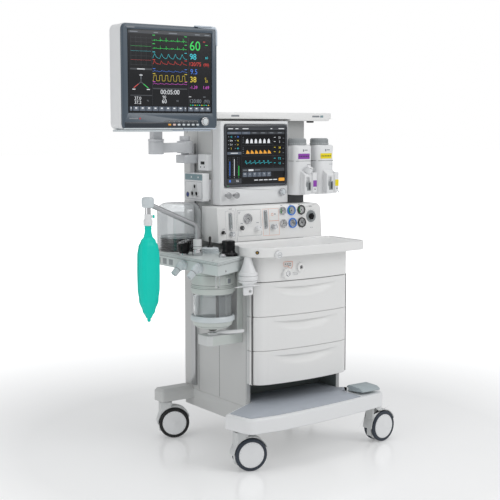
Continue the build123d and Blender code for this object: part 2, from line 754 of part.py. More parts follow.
def display_housing():
    """Shell that carries the screen, with two hose hooks and a recess for the screen."""
    top = tower_top - body_gap
    shell = block(display_left, display_right, display_front, tower_front - body_gap, display_bottom, top)
    shell = fillet(upright_edges(shell).sort_by(Axis.Y)[:2], 8.0)
    shell -= block(display_left + 5, display_right - 5, display_front + 14, tower_front, display_bottom + 5, top - 5)
    shell -= block(display_panel_left - 1, display_panel_right + 1, display_front - 1, display_front + 6,
                   display_panel_bottom - 1, display_panel_top + 1)
    shell -= block(display_panel_left + 12, display_panel_right - 12, display_front - 1, display_front + 20,
                   display_panel_bottom + 12, display_panel_top - 12)
    shell -= rod((display_knob_x, display_front - 1, display_knob_z), (0, 1, 0), 30, spindle_radius + running_gap)
    for x in (hook_left, hook_left + hook_pitch):
        hook = rod((x, display_front + 2, hook_z), (0, -1, 0), 26, 5)
        hook += rod((x, display_front - 20, hook_z), (0, -1, 0), 5, 13)
        shell += hook
    return shell


def display_panel():
    """Screen module with its bezel."""
    y0 = display_front + 6.0 - display_panel_thickness
    panel = block(display_panel_left, display_panel_right, y0, display_front + 6.0, display_panel_bottom, display_panel_top)
    return fillet(panel.edges().filter_by(Axis.Y), 9.0)


def display_knob():
    x, z = display_knob_x, display_knob_z
    knob = rod((x, display_front - body_gap, z), (0, -1, 0), 15, display_knob_radius)
    knob = fillet(knob.edges().sort_by(Axis.Y)[0], 4.0)
    return knob + rod((x, display_front - 2, z), (0, 1, 0), 13, spindle_radius)


def side_rail():
    """Long dovetail rail on the rear left corner of the column."""
    face = -cabinet_half_width
    neck = face - rail_depth + 7
    front, back = rail_front, rail_front + rail_width
    outline = [(face - rail_depth, front), (face - rail_depth, back), (neck, back - 5), (face, back - 5),
               (face, front + 5), (neck, front + 5)]
    return slab(outline, rail_bottom, rail_top)


def internal_modules():
    """Ventilator drive, power supply with battery, and gas manifold."""
    manifold = block(-120, 120, 20, 84, worktop_top + 15, console_top - 22)
    for x in (-80, 80):
        manifold += rod((x, 30, console_top - 27), (0, 0, 1), 12, 14)
    drive = block(-200, -20, 120, 280, tower_bottom + 10, tower_bottom + 140)
    drive = fillet(upright_edges(drive), 6.0)
    supply = block(20, 200, 130, 280, tower_bottom + 10, tower_bottom + 150)
    supply = fillet(upright_edges(supply), 6.0)
    battery = block(-190, 190, 120, 270, base_top + 10, base_top + 76)
    return group(manifold, drive, supply, battery)


# ---- vaporizers -------------------------------------------------------------

def vaporizer(index, capped):
    """Vaporizer case with its filler block; the dial is a separate piece."""
    x = vaporizer_first_x + index * vaporizer_pitch
    half = vaporizer_width / 2
    front = vaporizer_front
    back = front + vaporizer_depth
    low = vaporizer_bottom
    top = low + vaporizer_height
    case = block(x - half, x + half, front, back, low, top)
    case = fillet(upright_edges(case).sort_by(Axis.Y)[:2], vaporizer_corner)
    case = chamfer(case.edges().group_by(Axis.Z)[-1], 5.0)
    filler = side_slab([(front + 3, low + 4), (front - 26, low + 4), (front - 26, low + 84), (front + 3, low + 100)],
                       x - 18, x + 36)
    filler -= block(x - 10, x + 8, front - 27, front - 16, low + 34, low + 72)
    slab_block = block(x + 18, x + 40, front - 34, front - 20, low + 10, low + 92)
    slab_block = fillet(upright_edges(slab_block), 4.0)
    case = case + filler + slab_block
    if capped:
        case += rod((x + 6, front - 12, low + 92), (0.25, -0.5, 0.85), 26, 15)
    lock = block(x + half - 16, x + half - 4, back - 26, back - 8, top - 6, top + 20)
    return case + lock


def vaporizer_dial(index):
    """Round concentration dial on top of a vaporizer."""
    x = vaporizer_first_x + index * vaporizer_pitch + dial_offset
    y = vaporizer_front + 42.0
    low = vaporizer_bottom + vaporizer_height + body_gap
    dial = post(x, y, low, low + dial_height, dial_radius)
    dial = fillet(dial.edges().group_by(Axis.Z)[-1], 4.0)
    return dial - rod((x, y, low - 1), (0, 0, 1), 9, dial_radius - 9.0)


# ---- breathing system -------------------------------------------------------

def block_outline(inset):
    """Plan of the breathing block, with its front edge cut back to the cabinet."""
    right = -cabinet_half_width - 3.0 - inset
    left = block_left + inset
    points = [(left, block_front + inset * 1.6), (right, block_front + 129.0 - inset * 0.4),
              (right, block_back - inset), (left, block_back - inset)]
    return points


def breathing_block():
    """Manifold block with a wide top plate, standing off the cabinet's left side."""
    low = block_top - block_plate - block_depth
    plate = slab(block_outline(0), block_top - block_plate, block_top)
    plate = chamfer(plate.edges().group_by(Axis.Z)[-1], 3.0)
    body = slab(block_outline(9), low, block_top - block_plate)
    foot = block(-cabinet_half_width - 14, -cabinet_half_width, 60, 190, low, block_top - 4)
    rail_notch = block(-cabinet_half_width - rail_depth - 3, 0, rail_front - 3, block_back + 1, low - 1, block_top + 1)
    recess = post(dome_x, dome_y, block_top - 4, block_top + 1, dome_radius + 1.0)
    return plate + body + foot - rail_notch - recess


def dome_profile_solid(radius, base, top):
    """A cylinder with a rounded crown."""
    body = post(dome_x, dome_y, base, top, radius)
    return fillet(body.edges().group_by(Axis.Z)[-1], 34.0)


def bellows_dome():
    """Clear housing over the bellows with a flange at its foot."""
    base = block_top - 4.0
    outer = dome_profile_solid(dome_radius - flange_width, base, dome_top)
    outer += post(dome_x, dome_y, base, base + 9.0, dome_radius)
    inner = dome_profile_solid(dome_radius - flange_width - dome_wall, base - 1, dome_top - dome_wall)
    return outer - inner


def bellows():
    """Folded bellows in its lowest position."""
    base = block_top - 3.5
    step = bellows_height / bellows_folds
    stack = post(dome_x, dome_y, base, base + bellows_height, bellows_radius - 7.0)
    for index in range(bellows_folds):
        z = base + index * step
        ring = post(dome_x, dome_y, z + 0.2 * step, z + 0.8 * step, bellows_radius)
        stack += ring
    return stack - post(dome_x, dome_y, base - 1, base + bellows_height + 1, bellows_radius - 13.0)


def bellows_plate():
    base = block_top - 3.5 + bellows_height
    plate = post(dome_x, dome_y, base + 0.3, base + 8.0, bellows_radius - 2.0)
    return fillet(plate.edges().group_by(Axis.Z)[-1], 2.5)


port_sites = ((-40.0, "patient_port"), (-150.0, "return_port"))
port_direction = (-0.70710678, 0.0, -0.70710678)


def block_fittings():
    """Metal and plastic fittings on the block: ports, collars, sensor cap, bail."""
    pieces = []
    side = block_left + 9.0
    z = block_top - block_plate - block_depth / 2
    for y, _ in port_sites:
        collar = rod((side, y, z), (-1, 0, 0), 14, collar_radius)
        elbow = Pos(side - 16, y, z) * Sphere(port_radius + 2.5)
        spigot = rod((side - 16, y, z), port_direction, port_length, port_radius)
        spigot += rod((side - 16, y, z), port_direction, port_root, port_radius + 2.5)
        bore = rod((side - 16, y, z), port_direction, port_length + 1, port_bore_radius)
        pieces.append(collar + elbow + spigot - bore)
    sensor_x, sensor_y = sensor_cap_x - 47.0, sensor_cap_y - 30.0
    sensor = post(sensor_x, sensor_y, block_top, block_top + 9, 14)
    pieces.append(sensor + post(sensor_x, sensor_y, block_top + 8, block_top + 13, 10))
    cap = post(sensor_cap_x, sensor_cap_y, block_top, block_top + 9, sensor_cap_radius)
    cap = chamfer(cap.edges().group_by(Axis.Z)[-1], 3.0)
    pieces.append(cap + post(sensor_cap_x, sensor_cap_y, block_top + 8, block_top + 58, sensor_cap_radius - 10))
    socket = post(bag_post_x, bag_post_y, block_top, block_top + 24, bag_collar_radius + 9)
    socket -= post(bag_post_x, bag_post_y, block_top + 2, block_top + 25, bag_collar_radius + running_gap)
    pieces.append(socket)
    apl_base = post(apl_x, apl_y, block_top, block_top + 7, apl_radius - 6)
    pieces.append(apl_base - post(apl_x, apl_y, block_top + 1, block_top + 8, 5 + running_gap))
    lever_base = post(lever_base_x, lever_base_y, block_top, block_top + 12, mode_disc_radius + 2)
    pieces.append(lever_base - post(lever_base_x, lever_base_y, block_top + 1, block_top + 13, 6 + running_gap))
    pieces.append(bail())
    return group(*pieces)


def bail():
    """Wire bail that hangs below the block's front corner."""
    x, y = block_left + 34.0, block_front + 67.0
    top = block_top - block_plate - block_depth
    foot = (x, y, top)
    path = FilletPolyline(foot, (x, y, top - 52), (x + 28, y + 16, top - 52), (x + 28, y + 16, top), radius=12.0)
    start = Plane(origin=foot, z_dir=(0, 0, -1))
    return sweep(start * Circle(2.0), path=path)


def apl_knob():
    """Pressure limiting valve knob with a slanted scale."""
    low = block_top + 7.0 + body_gap
    body = post(apl_x, apl_y, low, low + 56, apl_radius)
    body -= Pos(apl_x, apl_y, low + 70) * Rot(0, -20, 0) * Box(80, 80, 50)
    return body + post(apl_x, apl_y, low - 5.5, low + 1, 5)


def mode_lever():
    """Disc with a raised lever that picks bag or ventilator."""
    low = block_top + 12.0 + body_gap
    x, y = lever_base_x, lever_base_y
    disc = post(x, y, low, low + 9, mode_disc_radius)
    arm = rod((x, y, low + 5), (0.2, 0.3, 0.92), 46, 5.5)
    return disc + arm + post(x, y, low - 10.5, low + 1, 6)


def canister_bracket():
    """Collar under the block, back plate and the lower arm with the lever's pivot."""
    block_low = block_top - block_plate - block_depth
    collar = post(canister_x, canister_y, canister_top + body_gap, block_low, canister_collar_radius)
    ring = post(canister_x, canister_y, canister_top + 8, canister_top + 28, canister_collar_radius + 3)
    throat = post(canister_x, canister_y, canister_top - 1, canister_top + 60, canister_radius - 10)
    plate_face = -cabinet_half_width - bracket_plate
    arm_low = latch_arm_top - latch_arm_height
    plate = block(plate_face, -cabinet_half_width, canister_y - 39, canister_y + 109, arm_low, block_low)
    plate += block(canister_x + canister_collar_radius - 8, plate_face + 1, canister_y - 25, canister_y + 25,
                   canister_top + body_gap, block_low)
    arm_end = canister_x - 43.0
    root = -cabinet_half_width - 8.0
    arm = slab([(root, canister_y - 39), (arm_end + 16, canister_y - 39), (arm_end, canister_y - 23),
                (arm_end, canister_y + 39), (root, canister_y + 39)], arm_low, latch_arm_top)
    arm = fillet(upright_edges(arm).sort_by(Axis.X)[:2], 5.0)
    pin = post(canister_x, canister_y, latch_arm_top - 1, latch_arm_top + 8, 8)
    return collar + ring + plate + arm + pin - throat


def canister_lever():
    """Lever under the canister; turning it lowers the canister."""
    low = latch_arm_top + body_gap
    hub = post(canister_x, canister_y, low, low + 8, 20)
    hub -= post(canister_x, canister_y, low - 1, low + 14, 8 + running_gap)
    heading = radians(lever_heading)
    along = Plane(origin=(canister_x, canister_y, low + 4), x_dir=(cos(heading), sin(heading), 0), z_dir=(0, 0, 1))
    bar = along * Pos((lever_reach + 14) / 2, 0, 0) * Box(lever_reach - 14, 15, 8)
    tip = along * Pos(lever_reach - 4, 0, 8) * Rot(0, -35, 0) * Box(26, 15, 8)
    return hub + bar + tip


def absorber_canister():
    """Clear jar in a carrying ring with a bowl below."""
    x, y = canister_x, canister_y
    jar = post(x, y, canister_bottom + 8, canister_top, canister_radius)
    jar -= post(x, y, canister_bottom + 12, canister_top + 1, canister_radius - canister_wall)
    ring = post(x, y, canister_ring_top - canister_ring_height, canister_ring_top, canister_ring_radius)
    ring -= post(x, y, canister_ring_top - 40, canister_ring_top + 1, canister_radius + 0.3)
    bowl = post(x, y, canister_bottom, canister_ring_top - canister_ring_height + 1, canister_radius + 4)
    bowl = chamfer(bowl.edges().group_by(Axis.Z)[0], 16.0)
    bowl -= post(x, y, canister_bottom + 8, canister_ring_top, canister_radius)
    foot = post(x, y, canister_bottom - 12, canister_bottom + 1, 16)
    insert = post(x, y, canister_bottom + 11.5, canister_bottom + 26, 30)
    return jar + ring + bowl + foot + insert


def water_trap():
    """Condensate trap under the worktop's left corner."""
    z0 = trap_bottom
    band_top = z0 + trap_band_top
    cup = post(trap_x, trap_y, z0 + 22, band_top, trap_radius)
    cup += post(trap_x, trap_y, z0 + 10, z0 + 23, trap_radius - 14)
    cone_height = worktop_underside - band_top
    cup += Pos(trap_x, trap_y, band_top + cone_height / 2) * Cone(trap_radius - 2, trap_neck_radius, cone_height)
    cup += post(trap_x, trap_y, z0 + 38, z0 + 42, trap_radius + 0.6)
    return cup - post(trap_x, trap_y, z0 + 5, z0 + 18, 4 + running_gap)


def drain_wing():
    """Wing tap under the water trap."""
    z0 = trap_bottom
    stem = post(trap_x, trap_y, z0, z0 + 16, 4)
    wing = block(trap_x - 21, trap_x + 21, trap_y - 4, trap_y + 4, z0 - 26, z0 + 6)
    wing -= rod((trap_x + 8, trap_y - 5, z0 - 12), (0, 1, 0), 10, 6)
    return stem + fillet(wing.edges().filter_by(Axis.Y), 6.0)


# ---- bag arm ----------------------------------------------------------------

def bag_arm():
    """Swan-neck tube in the block's socket, with the elbow that holds the bag."""
    y = bag_post_y
    foot = (bag_post_x, y, block_top + 2 + body_gap)
    path = FilletPolyline(foot, (bag_post_x, y, block_top + bag_bend_height), (bag_end_x, y, bag_arm_top), radius=34.0)
    start = Plane(origin=foot, z_dir=(0, 0, 1))
    tube = sweep(start * Circle(bag_tube_radius), path=path)
    collar = post(bag_post_x, y, block_top + 2 + body_gap, block_top + 62, bag_collar_radius)
    sleeve = post(bag_post_x, y, block_top + 24 + body_gap, block_top + 62, bag_collar_radius + 5)
    cap = post(bag_end_x, y, bag_arm_top - 14, bag_arm_top + 24, bag_cap_radius)
    cap = fillet(cap.edges().group_by(Axis.Z)[-1], 6.0)
    connector_foot = bag_top + bag_neck_height + body_gap
    connector = post(bag_end_x, y, connector_foot, connector_foot + 24, port_radius + 6)
    connector += post(bag_end_x, y, connector_foot + 23, connector_foot + 42, port_radius + 2)
    nozzle = post(bag_end_x, y, bag_top - 22, bag_arm_top - 12, port_radius - 0.5)
    return tube + collar + sleeve + cap + connector + nozzle


def breathing_bag():
    """Hanging reservoir bag, a closed solid round the nozzle."""
    x, y = bag_end_x, bag_post_y
    length = bag_top - bag_bottom
    stations = ((0.0, 0.32), (0.07, 0.62), (0.18, 0.92), (0.36, 1.0), (0.60, 0.98), (0.78, 0.80), (0.92, 0.42), (1.0, 0.14))
    sections = []
    for share, width in stations:
        z = bag_top - share * length
        least = bag_neck_radius * (1 - share / 2)
        sections.append(Pos(x, y, z) * Ellipse(max(width * bag_half_width, least), max(width * bag_half_depth, least - 0.5)))
    body = loft(sections)
    neck = post(x, y, bag_top - 1, bag_top + bag_neck_height, bag_neck_radius)
    hole = post(x, y, bag_top - 24, bag_top + bag_neck_height + 1, port_radius - 0.2)
    return body + neck - hole


# ---- monitor, its arm and the gas module ------------------------------------

def gas_module():
    """Gas analyser in a small case hung on the side rail."""
    face = -cabinet_half_width
    case = block(face - 44, face - 14, 92, 228, gas_module_bottom, gas_module_top)
    case = fillet(case.edges().filter_by(Axis.X), 5.0)
    bracket = block(face - 14.5, face, 100, 190, gas_module_bottom + 6, gas_module_top - 25)
    return case + bracket


def monitor_mount():
    """Clamp on the side rail with an upright post for the monitor's arm."""
    face = -cabinet_half_width
    low, high = monitor_arm_z - 64, monitor_arm_z - 30
    y0 = monitor_pole_y - 33
    clamp = block(monitor_pole_x - 22, face - rail_depth - body_gap, y0, y0 + 70, low, high)
    clamp = fillet(upright_edges(clamp), 6.0)
    jaw = block(face - rail_depth - 2, face, y0 + 4, rail_front - body_gap, low, high)
    stud = post(monitor_pole_x, monitor_pole_y, high - 2, monitor_arm_z + 44, monitor_pole_radius)
    cap = post(monitor_pole_x, monitor_pole_y, monitor_arm_z + 24 + body_gap, monitor_arm_z + 44, monitor_pole_radius + 5)
    return clamp + jaw + stud + cap


def monitor_arm():
    """Level arm that turns on the post."""
    px, py = monitor_pole_x, monitor_pole_y
    ex, ey = monitor_joint_x, monitor_joint_y
    low, high = monitor_arm_z - 24, monitor_arm_z + 24
    hub = post(px, py, low, high, 32)
    end = post(ex, ey, low, high, 29)
    length = hypot(ex - px, ey - py)
    along = Plane(origin=((px + ex) / 2, (py + ey) / 2, monitor_arm_z), x_dir=(ex - px, ey - py, 0), z_dir=(0, 0, 1))
    beam = along * Box(length, 40, 36)
    arm = hub + end + beam
    arm -= post(px, py, low - 1, high + 1, monitor_pole_radius + running_gap)
    return arm - post(ex, ey, low - 1, high + 1, swivel_pin_radius + running_gap)


def monitor_yoke():
    """Swivel pin and the block that carries the tilt shaft."""
    ex, ey = monitor_joint_x, monitor_joint_y
    top = monitor_arm_z + 24 + body_gap
    pin = post(ex, ey, monitor_arm_z - 24, top + 1, swivel_pin_radius)
    table = post(ex, ey, top, top + 10, 30)
    neck = block(ex - 20, ex + 20, ey - 14, ey + 14, top + 9, monitor_tilt_z + 14)
    shaft = rod((ex - 45, ey, monitor_tilt_z), (1, 0, 0), 90, tilt_shaft_radius)
    return pin + table + neck + shaft


def monitor_shell():
    """Rear casing of the monitor with the lugs of the tilt joint."""
    half = monitor_width / 2
    x = monitor_centre_x
    y0 = monitor_front + monitor_bezel_depth
    low, top = monitor_bottom, monitor_bottom + monitor_height
    body = block(x - half, x + half, y0, y0 + 60, low, top)
    body = fillet(body.edges().filter_by(Axis.Y), monitor_round)
    hump = block(x - half + 40, x + half - 40, y0 + 50, monitor_front + monitor_depth, low + 55, top - 40)
    hump = fillet(hump.edges().filter_by(Axis.Y), 24.0)
    hump = chamfer(hump.faces().sort_by(Axis.Y)[-1].edges(), 16.0)
    shell = body + hump
    shell -= block(x - half + 8, x + half - 8, y0 - 1, y0 + 52, low + 8, top - 8)
    shell -= block(x - half + 58, x + half - 58, y0 + 45, monitor_front + monitor_depth - 8, low + 72, top - 58)
    ex, ey = monitor_joint_x, monitor_joint_y
    shell -= block(ex - 46, ex + 46, ey - 48, ey + 90, low - 1, monitor_tilt_z + 40)
    for side in (-1, 1):
        inner = ex + side * 24
        outer = ex + side * 47
        lug = block(min(inner, outer), max(inner, outer), ey - 49, ey + 20, monitor_tilt_z - 22, monitor_tilt_z + 41)
        shell += lug
    shell -= rod((ex - 60, ey, monitor_tilt_z), (1, 0, 0), 120, tilt_shaft_radius + running_gap)
    return shell


def monitor_bezel():
    """Front frame round the screen with the key strip and alarm lamp."""
    half = monitor_width / 2
    x = monitor_centre_x
    low, top = monitor_bottom, monitor_bottom + monitor_height
    frame = block(x - half, x + half, monitor_front, monitor_front + monitor_bezel_depth, low, top)
    frame = fillet(frame.edges().filter_by(Axis.Y), monitor_round)
    frame = chamfer(frame.faces().sort_by(Axis.Y)[0].edges(), 5.0)
    z0 = monitor_screen_bottom
    sx = monitor_screen_width / 2
    frame -= block(x - sx, x + sx, monitor_front - 1, monitor_front + monitor_bezel_depth + 1, z0,
                   z0 + monitor_screen_height)
    knob_x, knob_z = monitor_knob_site()
    frame -= rod((knob_x, monitor_front - 1, knob_z), (0, 1, 0), 20, spindle_radius + running_gap)
    lamp = block(x + half - 96, x + half - 26, monitor_front - 3, monitor_front + 10, top - 1, top + 5)
    return frame + lamp


def monitor_knob_site():
    return monitor_centre_x + monitor_width / 2 - 62.0, monitor_bottom + 30.0


def monitor_screen():
    gap = 0.4
    sx = monitor_screen_width / 2 - gap
    z0 = monitor_screen_bottom + gap
    return block(monitor_centre_x - sx, monitor_centre_x + sx, monitor_front + 3, monitor_front + 13,
                 z0, z0 + monitor_screen_height - 2 * gap)


def monitor_knob():
    x, z = monitor_knob_site()
    knob = rod((x, monitor_front - body_gap, z), (0, -1, 0), 14, 16)
    knob = fillet(knob.edges().sort_by(Axis.Y)[0], 4.0)
    return knob + rod((x, monitor_front - 1, z), (0, 1, 0), 14, spindle_radius)


# ---- the assembly -----------------------------------------------------------

def assembly():
    """Every node's shape by name."""
    nodes = {}
    for corner in caster_corners:
        nodes[f"caster_hood_{corner}"] = caster_place(corner) * caster_hood()
        nodes[f"caster_wheels_{corner}"] = caster_place(corner) * caster_wheels()
    nodes["base_frame"] = base_frame()
    nodes["footrest"] = footrest()
    nodes["footrest_pad"] = footrest_pad()
    nodes["brake_pedal"] = brake_pedal()
    nodes["cabinet_shell"] = cabinet_shell()
    for index in range(drawer_count):
        level = drawer_zone_bottom + index * drawer_pitch
        nodes[f"drawer_{index + 1}"] = Pos(0, 0, level) * drawer()
    nodes["worktop"] = worktop()
    nodes["flush_button"] = flush_button()
    nodes["console_panel"] = console_panel()
    nodes["gauge_set"] = gauge_set()
    nodes["auxiliary_flow_knob"] = panel_knob("auxiliary_flow_knob", 16)
    nodes["gas_outlet_switch"] = panel_toggle("gas_outlet_switch", 12)
    nodes["suction_switch"] = panel_toggle("suction_switch", 14)
    nodes["suction_knob"] = panel_knob("suction_knob", 20)
    nodes["total_flow_knob"] = panel_knob("total_flow_knob", 18)
    nodes["system_switch"] = panel_knob("system_switch", 16)
    nodes["tower_shell"] = tower_shell()
    nodes["rear_cover"] = rear_cover()
    nodes["top_shelf"] = top_shelf()
    nodes["display_housing"] = display_housing()
    nodes["display_panel"] = display_panel()
    nodes["display_knob"] = display_knob()
    nodes["side_rail"] = side_rail()
    nodes["internal_modules"] = internal_modules()
    nodes["vaporizer_left"] = vaporizer(0, True)
    nodes["vaporizer_right"] = vaporizer(1, False)
    nodes["vaporizer_dial_left"] = vaporizer_dial(0)
    nodes["vaporizer_dial_right"] = vaporizer_dial(1)
    nodes["breathing_block"] = breathing_block()
    nodes["block_fittings"] = block_fittings()
    nodes["bellows_dome"] = bellows_dome()
    nodes["bellows"] = bellows()
    nodes["bellows_plate"] = bellows_plate()
    nodes["apl_knob"] = apl_knob()
    nodes["mode_lever"] = mode_lever()
    nodes["canister_bracket"] = canister_bracket()
    nodes["canister_lever"] = canister_lever()
    nodes["absorber_canister"] = absorber_canister()
    nodes["water_trap"] = water_trap()
    nodes["drain_wing"] = drain_wing()
    nodes["bag_arm"] = bag_arm()
    nodes["breathing_bag"] = breathing_bag()
    nodes["gas_module"] = gas_module()
    nodes["monitor_mount"] = monitor_mount()
    nodes["monitor_arm"] = monitor_arm()
    nodes["monitor_yoke"] = monitor_yoke()
    nodes["monitor_shell"] = monitor_shell()
    nodes["monitor_bezel"] = monitor_bezel()
    nodes["monitor_screen"] = monitor_screen()
    nodes["monitor_knob"] = monitor_knob()
    return nodes


os.makedirs("parts", exist_ok=True)
for name, shape in assembly().items():
    export_step(shape, f"parts/{name}.step")
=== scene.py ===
"""The anesthesia machine's looks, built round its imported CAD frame. Shapes are in millimetres."""
import json
import math

import bmesh
import bpy
from mathutils import Matrix, Vector


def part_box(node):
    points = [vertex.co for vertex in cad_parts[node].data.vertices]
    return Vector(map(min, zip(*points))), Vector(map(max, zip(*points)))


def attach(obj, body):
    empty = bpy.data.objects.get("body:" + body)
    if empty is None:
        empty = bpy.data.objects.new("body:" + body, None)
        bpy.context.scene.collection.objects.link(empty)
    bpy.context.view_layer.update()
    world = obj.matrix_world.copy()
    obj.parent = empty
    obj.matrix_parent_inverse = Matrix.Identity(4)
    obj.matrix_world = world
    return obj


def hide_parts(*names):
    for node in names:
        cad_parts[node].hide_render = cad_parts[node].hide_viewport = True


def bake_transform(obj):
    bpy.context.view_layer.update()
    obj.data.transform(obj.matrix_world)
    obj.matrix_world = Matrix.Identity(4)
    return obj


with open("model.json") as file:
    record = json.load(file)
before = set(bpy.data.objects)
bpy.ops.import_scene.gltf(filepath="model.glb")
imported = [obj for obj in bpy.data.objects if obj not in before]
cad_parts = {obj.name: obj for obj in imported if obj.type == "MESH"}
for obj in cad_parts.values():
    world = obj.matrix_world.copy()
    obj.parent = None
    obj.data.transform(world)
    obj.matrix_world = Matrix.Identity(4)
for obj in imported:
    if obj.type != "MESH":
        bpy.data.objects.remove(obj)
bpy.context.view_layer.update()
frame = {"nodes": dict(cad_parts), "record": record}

MM = 0.001                    # metres in a millimetre
MERGE = 0.001                 # mm, vertices nearer than this are one
HAIR = 0.3                    # mm, how far a printed mark stands off its surface
UP, INWARD, LEFT, RIGHT = (0, 0, 1), (0, 1, 0), (-1, 0, 0), (1, 0, 0)

record = frame["record"]
body_of = {node: body for body, nodes in record["behaviour"]["bodies"].items() for node in nodes}
slot_of = {part["node"]: part["material_slot"] for part in record["subparts"]}
joint_of = {joint["name"]: joint for joint in record["behaviour"]["joints"]}


def span(node):
    """A CAD node's extents in mm: x0, x1, y0, y1, z0, z1."""
    low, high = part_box(node)
    return [value / MM for pair in zip(low, high) for value in pair]


def middle(node):
    x0, x1, y0, y1, z0, z1 = span(node)
    return Vector(((x0 + x1) / 2, (y0 + y1) / 2, (z0 + z1) / 2))


# ---- node trees -------------------------------------------------------------

class Value:
    """A socket in a shader tree; arithmetic on it adds Math nodes."""

    def __init__(self, paint, socket):
        self.paint = paint
        self.socket = socket

    def math(self, operation, *values):
        return self.paint.node("ShaderNodeMath", {"operation": operation}, dict(enumerate(values)))

    def __add__(self, other):
        return self.math("ADD", self, other)

    def __sub__(self, other):
        return self.math("SUBTRACT", self, other)

    def __rsub__(self, other):
        return self.math("SUBTRACT", other, self)

    def __mul__(self, other):
        return self.math("MULTIPLY", self, other)

    __radd__ = __add__
    __rmul__ = __mul__


def rgb(red, green, blue):
    """A colour on the 0 to 255 scale, as a shader wants it."""
    shares = [part / 255 for part in (red, green, blue)]
    return (*[s / 12.92 if s <= 0.04045 else ((s + 0.055) / 1.055) ** 2.4 for s in shares], 1.0)


def shade(colour, factor):
    return (*[part * factor for part in colour[:3]], 1.0)


class Paint:
    """A material under construction."""

    def __init__(self, name):
        self.material = bpy.data.materials.new(name)
        self.material.use_nodes = True
        self.tree = self.material.node_tree
        self.tree.nodes.clear()
        self.shader = self.tree.nodes.new("ShaderNodeBsdfPrincipled")
        out = self.tree.nodes.new("ShaderNodeOutputMaterial")
        self.tree.links.new(self.shader.outputs[0], out.inputs[0])

    def feed(self, socket, value):
        if isinstance(value, Value):
            self.tree.links.new(value.socket, socket)
        else:
            socket.default_value = value

    def node(self, kind, settings=None, inputs=None, output=0):
        """Any node: its settings first, then the values or links of its sockets."""
        made = self.tree.nodes.new(kind)
        for name, value in (settings or {}).items():
            setattr(made, name, value)
        for key, value in (inputs or {}).items():
            self.feed(made.inputs[key], value)
        return Value(self, made.outputs[output])

    def place(self):
        return self.node("ShaderNodeTexCoord", output=3)

    def noise(self, scale, detail=2.0, at=None):
        return self.node("ShaderNodeTexNoise", {}, {"Vector": at or self.place(), "Scale": scale,
                "Detail": detail})

    def blend(self, factor, first, second):
        return self.node("ShaderNodeMix", {"data_type": "RGBA"}, {0: factor, 6: first, 7: second}, output=2)

    def bump(self, height, strength, distance):
        self.set("Normal", self.node("ShaderNodeBump", {}, {"Strength": strength, "Distance": distance,
                "Height": height}))

    def set(self, socket, value):
        self.feed(self.shader.inputs[socket], value)


# ---- finishes ---------------------------------------------------------------

def moulded(name, colour, roughness=0.38, grain=0.12, mottle=0.965, coat=0.0):
    """Injection-moulded plastic or paint, with a fine texture and a slightly uneven tone."""
    paint = Paint(name)
    at = paint.place()
    broad = paint.noise(7.0, 3.0, at)
    fine = paint.noise(1400.0, 2.0, at)
    paint.set("Base Color", paint.blend(broad, shade(colour, mottle), colour))
    paint.set("Roughness", broad * 0.08 + fine * 0.10 + (roughness - 0.09))
    paint.set("Coat Weight", coat)
    paint.set("Coat Roughness", 0.12)
    paint.bump(fine, grain, 0.0003)
    return paint.material


def rubber(name, colour, roughness=0.62):
    """Soft rubber, matt, with a faint bloom."""
    paint = Paint(name)
    at = paint.place()
    bloom = paint.noise(26.0, 4.0, at)
    fine = paint.noise(700.0, 3.0, at)
    paint.set("Base Color", paint.blend(bloom, shade(colour, 0.86), colour))
    paint.set("Roughness", bloom * 0.12 + fine * 0.08 + (roughness - 0.1))
    paint.bump(fine, 0.22, 0.0004)
    return paint.material


def metal(name, colour, roughness=0.28, stretch=(1.0, 1.0, 40.0)):
    """Metal with a brushed grain; the stretch is large across the grain's lines."""
    paint = Paint(name)
    at = paint.place()
    along = paint.node("ShaderNodeMapping", {}, {"Vector": at, "Scale": stretch})
    grain = paint.noise(60.0, 4.0, along)
    smudge = paint.noise(14.0, 3.0, at)
    paint.set("Base Color", paint.blend(grain, shade(colour, 0.84), colour))
    paint.set("Metallic", 1.0)
    paint.set("Roughness", grain * 0.14 + smudge * 0.08 + (roughness - 0.1))
    paint.bump(grain, 0.06, 0.0002)
    return paint.material


def clear(name, colour, roughness=0.04, weight=0.93):
    """Clear moulded plastic with faint handling marks."""
    paint = Paint(name)
    at = paint.place()
    haze = paint.noise(18.0, 4.0, at)
    ripple = paint.noise(90.0, 2.0, at)
    paint.set("Base Color", paint.blend(haze, shade(colour, 0.95), colour))
    paint.set("Roughness", haze * 0.05 + roughness)
    paint.set("Transmission Weight", weight)
    paint.set("IOR", 1.46)
    paint.bump(ripple, 0.03, 0.0004)
    return paint.material


def lit(name, colour, strength=1.0):
    """A glowing mark on a screen, with the fine dots of the display showing in it."""
    paint = Paint(name)
    dots = paint.noise(1800.0, 1.0)
    paint.set("Base Color", (0.01, 0.01, 0.01, 1))
    paint.set("Emission Color", paint.blend(dots, shade(colour, 0.82), colour))
    paint.set("Emission Strength", strength)
    paint.set("Roughness", 0.3)
    return paint.material


def gloss(name, colour, roughness=0.14, shine=0.35):
    """Glossy black or tinted glass with smudges."""
    paint = Paint(name)
    smudge = paint.noise(11.0, 4.0)
    paint.set("Base Color", paint.blend(smudge, shade(colour, 0.7), colour))
    paint.set("Roughness", smudge * 0.1 + (roughness - 0.04))
    paint.set("Specular IOR Level", shine)
    return paint.material


